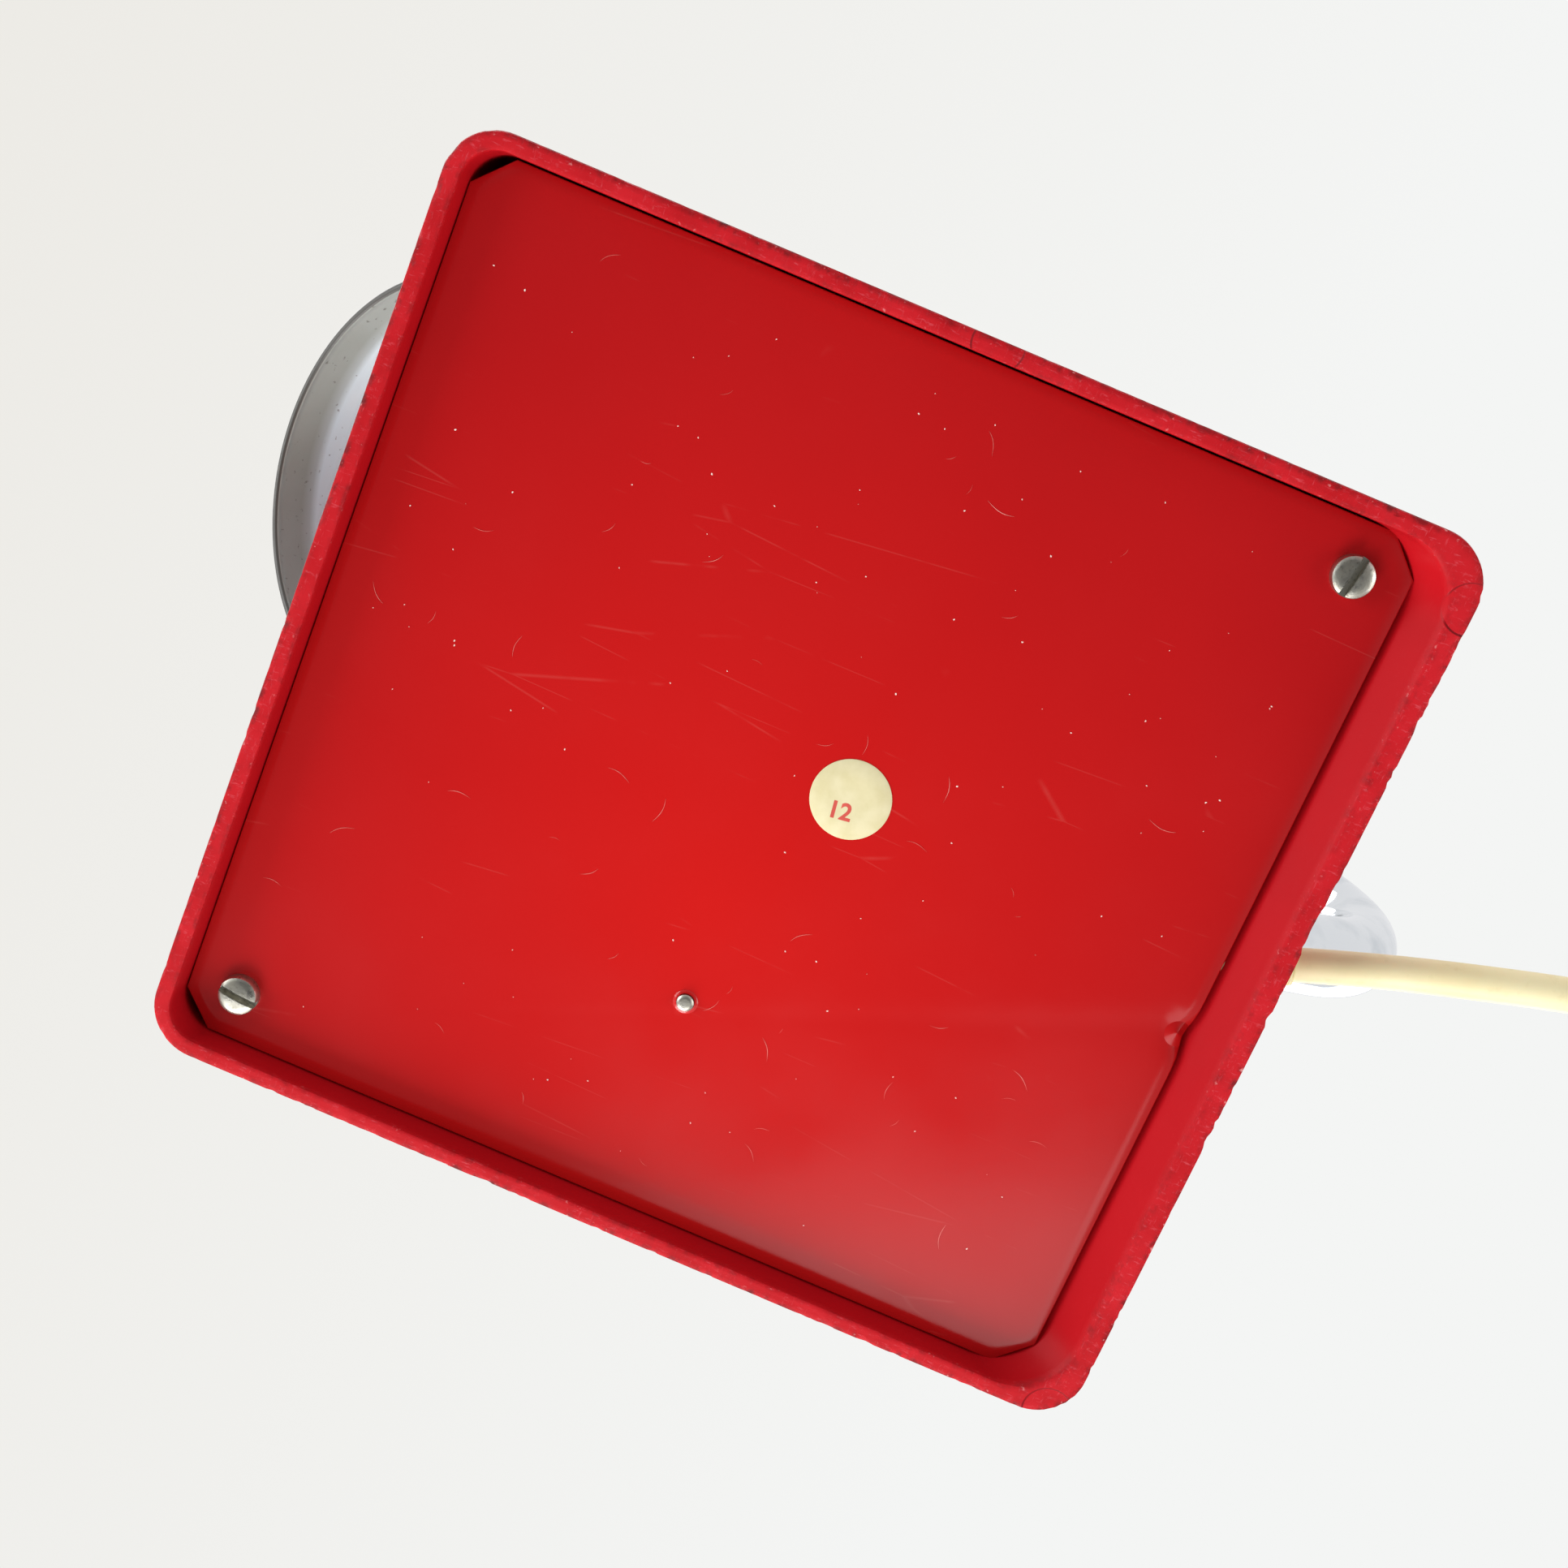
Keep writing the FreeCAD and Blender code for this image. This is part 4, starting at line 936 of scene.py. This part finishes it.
def makeBallastScrew(s):
    # from its slotted head on the weight down to its cut end, which stands below the plate in a lacquer burr
    x, y, r, out = s["end"]
    headRadius, headHeight = s["head"]
    low = plateSet["low"]
    seat = s["seat"]
    place = Matrix.Translation((x, y, 0))
    end = low - out
    top = seat + headHeight
    outline = [(0, end), (r * 0.55, end - 0.03), (r - 0.25, end + 0.05), (r, end + 0.3), (r, seat)]
    outline += [(headRadius, seat), (headRadius, top - 0.3), (headRadius - 0.3, top), (0, top)]
    screw = looseObject("ballastScrewBlank", turned("ballastScrewBlank", outline, place, 40))
    across, deep = s["slot"]
    slotMesh = boxMesh("ballastSlot", (-4, -across / 2, top - deep), (4, across / 2, top + 1))
    turn = Matrix.Rotation(math.radians(s["slotTurn"]), 4, "Z")
    slotMesh.transform(Matrix.Translation((x * mm, y * mm, 0)) @ turn)
    mesh = cutAway(screw, [looseObject("ballastSlot", slotMesh)])
    bpy.data.objects.remove(screw)
    newPiece("ballastScrew", mesh, "nickel_screws", "base", ("ballast_screw",))
    burr = [(r + 0.02, low + 0.06), (r + 0.1, low - 0.28), (r + 0.42, low - 0.2), (r + 0.75, low + 0.06),
            (r + 0.02, low + 0.06)]
    newPiece("lacquerBurr", turned("lacquerBurr", burr, place, 40), "red_lacquer", "base")


makeBallastScrew(ballastScrewSet)
print("plate dressed")

# arm

armSet = {
    "radius": 8.0, "rear": (120.0, 88.0), "lowRadius": 40.0, "lean": 130.0, "topRadius": 50.0, "topZ": 226.3,
    "inside": 8.9, "endY": -22.0, "segments": 48, "wall": 1.5,
}


def armLine(s):
    # straight out of the slanted face, round the low bend, up the long straight and over to the head
    lean = math.radians(s["lean"])
    leanWay = Vector((0, math.cos(lean), math.sin(lean)))
    lowCentre = Vector((0, s["rear"][0] - s["lowRadius"], s["rear"][1]))
    bendStart = lowCentre + Vector((0, math.sin(slope), -math.cos(slope))) * s["lowRadius"]
    line = [armFace - rearWay * s["inside"], armFace, bendStart]
    for i in range(1, 41):
        a = slope + (lean - slope) * i / 40
        line.append(lowCentre + Vector((0, math.sin(a), -math.cos(a))) * s["lowRadius"])
    reach = s["topRadius"] * math.tan((math.pi - lean) / 2)
    last = line[-1]
    corner = last + leanWay * ((s["topZ"] - last.z) / leanWay.z)
    topCentre = Vector((0, corner.y - reach, s["topZ"] - s["topRadius"]))
    for i in range(33):
        a = lean + (math.pi - lean) * i / 32
        line.append(topCentre + Vector((0, math.sin(a), -math.cos(a))) * s["topRadius"])
    line.append(Vector((0, s["endY"], s["topZ"])))
    return line


def tubeAlong(name, line, outer, inner, segments):
    # a round tube with an eased lip at its far end and a square end at its start; the line lies in the YZ
    # plane
    n = len(line)
    ways = [(line[min(i + 1, n - 1)] - line[max(i - 1, 0)]).normalized() for i in range(n)]

    def ringAt(centre, way, radius):
        up = way.cross(Vector((1, 0, 0))).normalized()
        return [centre + (Vector((1, 0, 0)) * math.cos(2 * math.pi * k / segments)
                          + up * math.sin(2 * math.pi * k / segments)) * radius for k in range(segments)]
    loops = [ringAt(line[0], ways[0], outer)]
    loops += [ringAt(line[i], ways[i], outer) for i in range(1, n - 1)]
    loops += [ringAt(line[-1] - ways[-1] * 0.3, ways[-1], outer), ringAt(line[-1], ways[-1], outer - 0.3),
              ringAt(line[-1], ways[-1], inner + 0.05)]
    loops += [ringAt(line[i], ways[i], inner + 0.05) for i in range(n - 2, 0, -1)]
    loops += [ringAt(line[0], ways[0], inner + 0.05)]
    return meshFrom(name, *loftLoops(loops, closed=True))


newPiece("armTube", tubeAlong("armTube", armLine(armSet), armSet["radius"], armSet["radius"] - armSet["wall"],
                              armSet["segments"]), "chrome", "base", ("arm_tube",))


collarSet = {"radius": 12.5, "length": 5.0, "round": 2.2, "bore": 8.06}


def makeCollar(s):
    # a rounded ferrule seated on the slanted face where the tube comes out
    r = s["radius"]
    length = s["length"]
    bore = s["bore"]
    place = Matrix.Translation(armFace) @ rearWay.to_track_quat("Z", "Y").to_matrix().to_4x4()
    outline = [(bore, 0.02), (r - 0.3, 0.02), (r, 0.3)]
    outline += arcOutline(r - s["round"], length - s["round"], s["round"], 0, 90, 10)
    outline += [(8.5, length), (bore, length - 0.4), (bore, 0.02)]
    newPiece("armCollar", turned("armCollar", outline, place, 72), "chrome", "base", ("arm_collar",))


makeCollar(collarSet)
print("arm bent")

# head: shade, cap, lamp and holder

shadeSet = {"radius": 52.0, "band": 11.0, "dome": 41.0, "wall": 1.2, "bead": 0.9, "hole": 13.55}


def makeShade(s):
    r = s["radius"]
    w = s["wall"]
    hole = s["hole"]
    crown = s["band"] + s["dome"]
    flatR = r - s["dome"]
    outer = [(r, 2.0)] + [(r, s["band"] * k / 4) for k in range(1, 4)]
    outer += arcOutline(flatR, s["band"], s["dome"], 0, 90, 30) + [(hole, crown)]
    outer = [p for p in outer if p[0] >= hole]
    inner = arcOutline(flatR, s["band"], s["dome"] - w, 90, 0, 30)
    inner = [(hole, crown - w)] + [p for p in inner if p[0] >= hole]
    inner += [(r - w, s["band"] * k / 4) for k in (3, 2, 1)] + [(r - w, 2.0)]
    # the free edge is turned in to a small bead, kept within the shade's own width
    bead = arcOutline(r - s["bead"], s["bead"], s["bead"], 180, 360, 12)
    mesh = turned("shade", outer + inner + bead + [outer[0]], segments=144)
    back = headPlace.inverted()
    # the share where the dome inside is painted pale, a painted light; it rises over 1.6 mm past the band
    paintedLight = []
    for v in mesh.vertices:
        p = back @ (v.co / mm)
        fromAxis = math.hypot(p.x, p.y)
        fromDome = math.hypot(fromAxis - flatR, max(0.0, p.z - s["band"]))
        inward = fromAxis < r - 0.4 and fromDome < s["dome"] - 0.6
        depth = min(1.0, max(0.0, (p.z - s["band"] + 0.5) / 1.6))
        topInside = crown - w - 0.2 < p.z < crown - 0.6 and fromAxis < flatR + 3
        paintedLight.append(depth if inward or topInside else 0.0)
    # the bead's points carry the painted dark shade line
    paintedDarkLip = [1.0 if (back @ (v.co / mm)).z < 0.5 else 0.0 for v in mesh.vertices]
    for name, values in (("inside", paintedLight), ("lip", paintedDarkLip)):
        layer = mesh.attributes.new(name, "FLOAT", "POINT")
        layer.data.foreach_set("value", values)
    newPiece("shade", mesh, "grey_enamel", "head", ("head_shade",))


makeShade(shadeSet)

capSet = {"low": 46.3, "lowRadius": 20.0, "topRadius": 17.0, "top": 95.0, "wall": 1.5, "round": 3.0,
          "foot": 51.2, "hole": 4.06, "ribs": 3, "firstRib": 56, "ribGap": 3.2}


def makeRearCap(s):
    # a turned cup with three shallow rolled grooves near its foot
    def radiusAt(z):
        return s["lowRadius"] + (s["topRadius"] - s["lowRadius"]) * (z - s["low"]) / (s["top"] - s["low"])
    start = s["foot"]
    wall = s["wall"]
    top = s["top"]
    outline = [(radiusAt(start) - 0.02, start)]
    for k in range(s["ribs"]):
        z = s["firstRib"] + k * s["ribGap"]
        outline += [(radiusAt(z - 1), z - 1), (radiusAt(z - 0.5) - 0.28, z - 0.5), (radiusAt(z) - 0.42, z),
                    (radiusAt(z + 0.5) - 0.28, z + 0.5), (radiusAt(z + 1), z + 1)]
    outline += arcOutline(s["topRadius"] + 0.15 - s["round"], top - s["round"], s["round"], 0, 90, 10)
    outline += [(s["hole"], top), (s["hole"], top - wall)]
    outline += [(s["topRadius"] - wall - 1, top - wall), (s["topRadius"] - wall, top - wall - 1)]
    outline += [(radiusAt(start) - wall, start), outline[0]]
    newPiece("rearCap", turned("rearCap", outline, segments=96), "red_enamel", "head", ("rear_cap",))


makeRearCap(capSet)

lampSet = {"radius": 22.5, "tip": 2.0, "neck": 10.6, "throat": 5.6, "throatZ": 54.4,
           "capRadius": 6.9, "capLow": 53.0, "capTop": 76.0, "thread": 2.8}


def makeLamp(s):
    centre = s["tip"] + s["radius"]
    leave = math.degrees(math.asin(math.sqrt(1 - (s["neck"] / s["radius"]) ** 2)))
    outline = arcOutline(0, centre, s["radius"], -90, leave, 36)
    neckTop = (s["throat"], s["throatZ"])
    last = outline[-1]
    for k in range(1, 9):
        t = k / 8
        # the neck flares in with a soft hollow curve
        r = last[0] + (neckTop[0] - last[0]) * t - 0.55 * math.sin(math.pi * t)
        outline.append((r, last[1] + (neckTop[1] - last[1]) * t))
    outline.append((0, s["throatZ"]))
    newPiece("lampBulb", turned("lampBulb", outline, segments=96), "red_glass", "head", ("bulb_glass",))
    capOutline = [(0, s["capLow"] + 1.8), (6.0, s["capLow"] + 1.8), (6.4, s["capLow"])]
    z = s["capLow"] + 0.6
    while z < s["capTop"] - 5:
        for i in range(6):
            wave = math.sin(2 * math.pi * i / 6)
            capOutline.append((s["capRadius"] - 0.35 + 0.35 * wave, z + s["thread"] * i / 6))
        z += s["thread"]
    capOutline += [(s["capRadius"] - 0.8, s["capTop"] - 3), (3.4, s["capTop"] - 0.4), (3.0, s["capTop"]),
                   (1.6, s["capTop"] + 1.2), (0, s["capTop"] + 1.45)]
    newPiece("lampCap", turned("lampCap", capOutline, segments=72), "brass", "head", ("bulb_cap",))


makeLamp(lampSet)

ringSet = {"low": 44.8, "top": 49.9, "inner": 13.56, "core": 17.6, "ribs": 30, "ribRadius": 0.75}


def makeHolderRing(s):
    # the ring that clamps the shade: a turned core with grip ribs set round it
    core = [(s["inner"], s["low"]), (s["core"] - 0.8, s["low"]), (s["core"], s["low"] + 0.8),
            (s["core"], s["top"] - 0.6), (s["core"] - 0.5, s["top"]), (14.4, 50.5), (s["inner"], 50.5),
            (s["inner"], s["low"])]
    coreMesh = turned("holderRing", core, segments=90)
    newPiece("holderRing", coreMesh, "black_bakelite", "head", ("lampholder_ring",))
    rib = [(0, s["low"] + 0.9), (s["ribRadius"] * 0.7, s["low"] + 1.05), (s["ribRadius"], s["low"] + 1.4),
           (s["ribRadius"], s["top"] - 1.0), (s["ribRadius"] * 0.7, s["top"] - 0.7), (0, s["top"] - 0.6)]
    blank = looseObject("ribBlank", turned("ribBlank", rib, Matrix.Identity(4), 8))
    angles = [2 * math.pi * i / s["ribs"] for i in range(s["ribs"])]
    spots = pointCloud("ribSpots", [(s["core"] * math.cos(a), s["core"] * math.sin(a), 0) for a in angles],
                       [(0, 0, a) for a in angles])
    mesh = runTree(spots, onPoints, {"Blank": blank, "Finish": finishes["black_bakelite"]})
    bpy.data.objects.remove(blank)
    mesh.transform(Matrix.Scale(mm, 4) @ headPlace @ Matrix.Scale(1 / mm, 4))
    newPiece("holderRibs", mesh, "black_bakelite", "head")


makeHolderRing(ringSet)
print("head spun")

# lead: strain relief and plug

reliefSet = {"rings": 5, "nose": 3.5, "flange": 5.0, "flangeAt": -5.1, "bore": 3.03, "shank": 3.65,
             "rear": -23.4}


def makeRelief(s):
    # a soft sleeve with shallow flex grooves between its flange and its nose
    far = s["flangeAt"]
    inside = (s["bore"], s["rear"])
    place = Matrix.Translation(leadExit) @ leadWay.to_track_quat("Z", "Y").to_matrix().to_4x4()
    wide = s["flange"]
    outline = [inside, (s["shank"], s["rear"]), (s["shank"], far), (wide - 0.2, far), (wide, far + 0.2),
               (wide, far + 1.2), (wide - 0.5, far + 1.5)]
    start = far + 1.7
    step = -start / s["rings"]
    for k in range(s["rings"]):
        z = start + k * step
        r = 4.2 - 0.7 * (k / s["rings"])
        outline += [(r, z + 0.05), (r, z + step * 0.55)]
        outline += [(r - 0.3, z + step * 0.7), (r - 0.3, z + step * 0.95)]
    outline += [(s["nose"], -0.05), (s["bore"], 0), inside]
    newPiece("leadRelief", turned("leadRelief", outline, place, 56), "cream_pvc", "base", ("strain_relief",))


makeRelief(reliefSet)

plugSet = {"length": 36.0, "thick": 13.7, "tail": 45.0, "pin": 2.0, "pinLength": 19.0, "spacing": 19.0}


def plugPlace():
    angle = math.radians(leadSet["coilEnd"])
    way = Vector((math.sin(angle), -math.cos(angle), 0))
    side = Vector((0, 0, 1)).cross(way)
    out = Vector((math.cos(angle), math.sin(angle), 0)) * leadSet["rings"][0]
    start = Vector((*leadSet["coilCentre"], 0)) + out + way * plugSet["tail"]
    return Matrix.Translation(start) @ Matrix((way, side, Vector((0, 0, 1)))).transposed().to_4x4()


def makePlug(s):
    # a moulded two-pin body: rounded sections swell from the lead, then a waist to grip, then the pin face
    place = plugPlace()
    half = s["thick"] / 2
    stations = [(0, 5.6, 5.2), (1.0, 7.2, 6.2), (4, 10.8, 6.75), (8, 15.2, half), (10, 16.2, half)]
    stations += [(14, 15.6, half - 0.35), (19, 14.6, half - 0.6), (25, 14.2, half - 0.6)]
    stations += [(30, 13.6, half - 0.35), (34.8, 12.8, half - 0.1), (35.7, 12.3, half - 0.6),
                 (36, 11.6, half - 1.2)]
    loops = []
    for x, wide, high in stations:
        loop = []
        for i in range(48):
            a = 2 * math.pi * i / 48
            c = math.cos(a)
            k = math.sin(a)
            loop.append(place @ Vector((x, math.copysign(abs(c) ** 0.5, c) * wide,
                                        half + math.copysign(abs(k) ** 0.5, k) * high)))
        loops.append(loop)
    bodyMesh = meshFrom("plugBody", *loftLoops(loops, capFirst=True, capLast=True))
    body = newPiece("plugBody", bodyMesh, "cream_pvc", "base", ("plug_body",))
    outline = [(0, 0), (s["pin"], 0), (s["pin"], s["pinLength"] - 1.4)]
    outline += arcOutline(s["pin"] - 1.2, s["pinLength"] - 1.2, 1.2, 0, 90, 8) + [(0, s["pinLength"])]
    blank = looseObject("pinBlank", turned("pinBlank", outline, Matrix.Identity(4), 32))
    apart = s["spacing"] / 2
    spots = pointCloud("pinSpots", [(0, -apart, 0), (0, apart, 0)], [(0, 0, 0)] * 2)
    mesh = runTree(spots, onPoints, {"Blank": blank, "Finish": finishes["brass"]})
    bpy.data.objects.remove(blank)
    toPlug = place @ Matrix.Translation((s["length"] - 0.4, 0, half)) @ Matrix.Rotation(math.pi / 2, 4, "Y")
    # the pins stand side by side across the face
    mesh.transform(Matrix.Scale(mm, 4) @ toPlug @ Matrix.Scale(1 / mm, 4))
    pins = newPiece("plugPins", mesh, "brass", "base", ("plug_pins",))
    return body, pins


plugBody, plugPins = makePlug(plugSet)
mainsLead.data.materials.append(finishes["cream_pvc"])
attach(mainsLead, "base")
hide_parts("power_cord", "cord_coil", "cord_tail")
print("plug moulded")

# switch rocker

rockerSet = {"at": (45.0, -20.0, 47.5), "half": 4.7, "slope": 9.0, "crown": 4.2, "reach": 10.0, "dish": 0.35,
             "drum": 10.4}


def makeRocker(s):
    # a drum sector with two dished flats, lying with its front half up
    profile = []
    crown = s["crown"]
    rise = math.tan(math.radians(s["slope"]))
    reach = s["reach"]
    for i in range(21):
        y = reach - i * reach / 10
        dish = s["dish"] * math.sin(math.pi * min(1.0, abs(y) / reach)) ** 2
        profile.append((y, crown - abs(y) * rise - dish))
    drum = s["drum"]
    for i in range(17):
        a = math.radians(194 + 152 * i / 16)      # the drum below, flattened where it would reach too deep
        profile.append((drum * math.cos(a), max(-3.0, drum * math.sin(a) * 0.28 - 0.3)))
    turn = math.radians(-s["slope"])
    loops = []
    for x, shrink in ((-s["half"], 0.35), (-s["half"] + 0.35, 0), (s["half"] - 0.35, 0), (s["half"], 0.35)):
        loop = []
        for y, z in profile:
            v = Vector((x, y * (1 - shrink / 10), z - math.copysign(shrink, z) * 0.8))
            v = Matrix.Rotation(turn, 4, "X") @ v
            loop.append(v + Vector(s["at"]))
        loops.append(loop)
    mesh = meshFrom("rocker", *loftLoops(loops, capFirst=True, capLast=True))
    newPiece("rocker", mesh, "black_plastic", "rocker", ("switch_rocker",))


makeRocker(rockerSet)
print("switch made")

# floor, background and lights

stageSet = {
    "floor": "#DBDAD7", "floorPale": "#E0DFDC", "floorReach": 3.0,
    "seenLeft": "#EDEBE6", "seenRight": "#F4F5F4", "fillBelow": 0.07, "fillLevel": 0.95,
    "lamps": [
        # name, place, aim, size across and along, watts, colour
        ("windowSoft", (-1.15, -0.1, -0.62), (0, 0, 0), (0.9, 0.9), 17.0, "#FFFFFF"),
        ("lowFill", (0.0, -1.25, -0.5), (0, -0.05, 0.06), (0.9, 0.9), 10.5, "#F8FCFF"),
        ("rearFill", (0.2, 1.2, -0.5), (0, 0.1, 0.02), (0.8, 0.8), 6.0, "#FFFFFF"),
        # a pale card whose soft edge is mirrored in the plate's lacquer
        ("paleCard", (-0.52, 0.27, -0.63), (-0.06, 0.05, 0.006), (0.5, 0.42), 1.0, "#FFFFFF"),
        ("topSoft", (0.5, -0.9, 1.25), (0, 0, 0.05), (1.1, 1.1), 8.0, "#FFFFFF"),
        ("backSoft", (-0.9, 0.9, 1.0), (0, 0, 0.05), (1.0, 1.0), 5.0, "#F4F8FF"),
    ],
}


def makeFloor(s):
    # seen and shadowed from above only, so that the underside can be looked at through it
    mesh = bpy.data.meshes.new("floor")
    reach = s["floorReach"]
    mesh.from_pydata([(-reach, -reach, -0.0006), (reach, -reach, -0.0006), (reach, reach, -0.0006),
                      (-reach, reach, -0.0006)], [], [(0, 1, 2, 3)])
    floor = looseObject("floor", mesh)
    material, tree, shader, place = startMaterial("paleFloor")
    cloud = patchMask(tree, place, 180, 2.0, 0.3, 0.7)
    tree.links.new(layColours(tree, s["floor"], (cloud, s["floorPale"])), shader.inputs["Base Color"])
    shader.inputs["Roughness"].default_value = 0.7
    clear = addNode(tree, "ShaderNodeBsdfTransparent")
    behind = addNode(tree, "ShaderNodeNewGeometry").outputs["Backfacing"]
    both = addNode(tree, "ShaderNodeMixShader", {0: behind, 1: shader.outputs[0], 2: clear.outputs[0]})
    tree.links.new(both.outputs[0], tree.nodes["Material Output"].inputs["Surface"])
    mesh.materials.append(material)
    for ray in ("visible_diffuse", "visible_glossy", "visible_transmission", "visible_shadow"):
        setattr(floor, ray, False)


def makeWorld(s):
    world = bpy.data.worlds.new("studio")
    bpy.context.scene.world = world
    world.use_nodes = True
    tree = world.node_tree
    tree.nodes.clear()
    way = addNode(tree, "ShaderNodeTexCoord").outputs["Generated"]
    parts = addNode(tree, "ShaderNodeSeparateXYZ", {0: way})
    # painted shade: the backdrop seen behind is painted a little darker and warmer towards -Y, the left of
    # the main view
    tone = addNode(tree, "ShaderNodeMapRange", {
        "Value": parts.outputs["Y"], "From Min": -0.45, "From Max": 0.2}).outputs["Result"]
    seen = addNode(tree, "ShaderNodeBackground", {
        "Color": layColours(tree, s["seenLeft"], (tone, s["seenRight"])), "Strength": 1.0})
    # the room is darker straight below, where the plate mirrors it
    strength = addNode(tree, "ShaderNodeMapRange", {
        "Value": parts.outputs["Z"], "From Min": -0.96, "From Max": -0.4,
        "To Min": s["fillBelow"], "To Max": s["fillLevel"]}).outputs["Result"]
    lit = addNode(tree, "ShaderNodeBackground", {"Color": "#F2F2F4", "Strength": strength})
    direct = addNode(tree, "ShaderNodeLightPath").outputs["Is Camera Ray"]
    both = addNode(tree, "ShaderNodeMixShader", {0: direct, 1: lit.outputs[0], 2: seen.outputs[0]})
    addNode(tree, "ShaderNodeOutputWorld", {"Surface": both.outputs[0]})


def makeLights(s):
    for name, place, target, size, watts, colour in s["lamps"]:
        data = bpy.data.lights.new(name, "AREA")
        data.shape = "RECTANGLE"
        data.size, data.size_y = size
        data.energy = watts
        data.color = hexColour(colour)[:3]
        lamp = bpy.data.objects.new(name, data)
        lamp.location = place
        lamp.visible_camera = False
        aim = Vector(target) - Vector(place)
        lamp.rotation_mode = "QUATERNION"
        lamp.rotation_quaternion = aim.to_track_quat("-Z", "Y")
        bpy.context.scene.collection.objects.link(lamp)


bpy.context.scene.view_settings.view_transform = "Standard"
makeFloor(stageSet)
makeWorld(stageSet)
makeLights(stageSet)
print("stage lit")

bpy.context.view_layer.update()
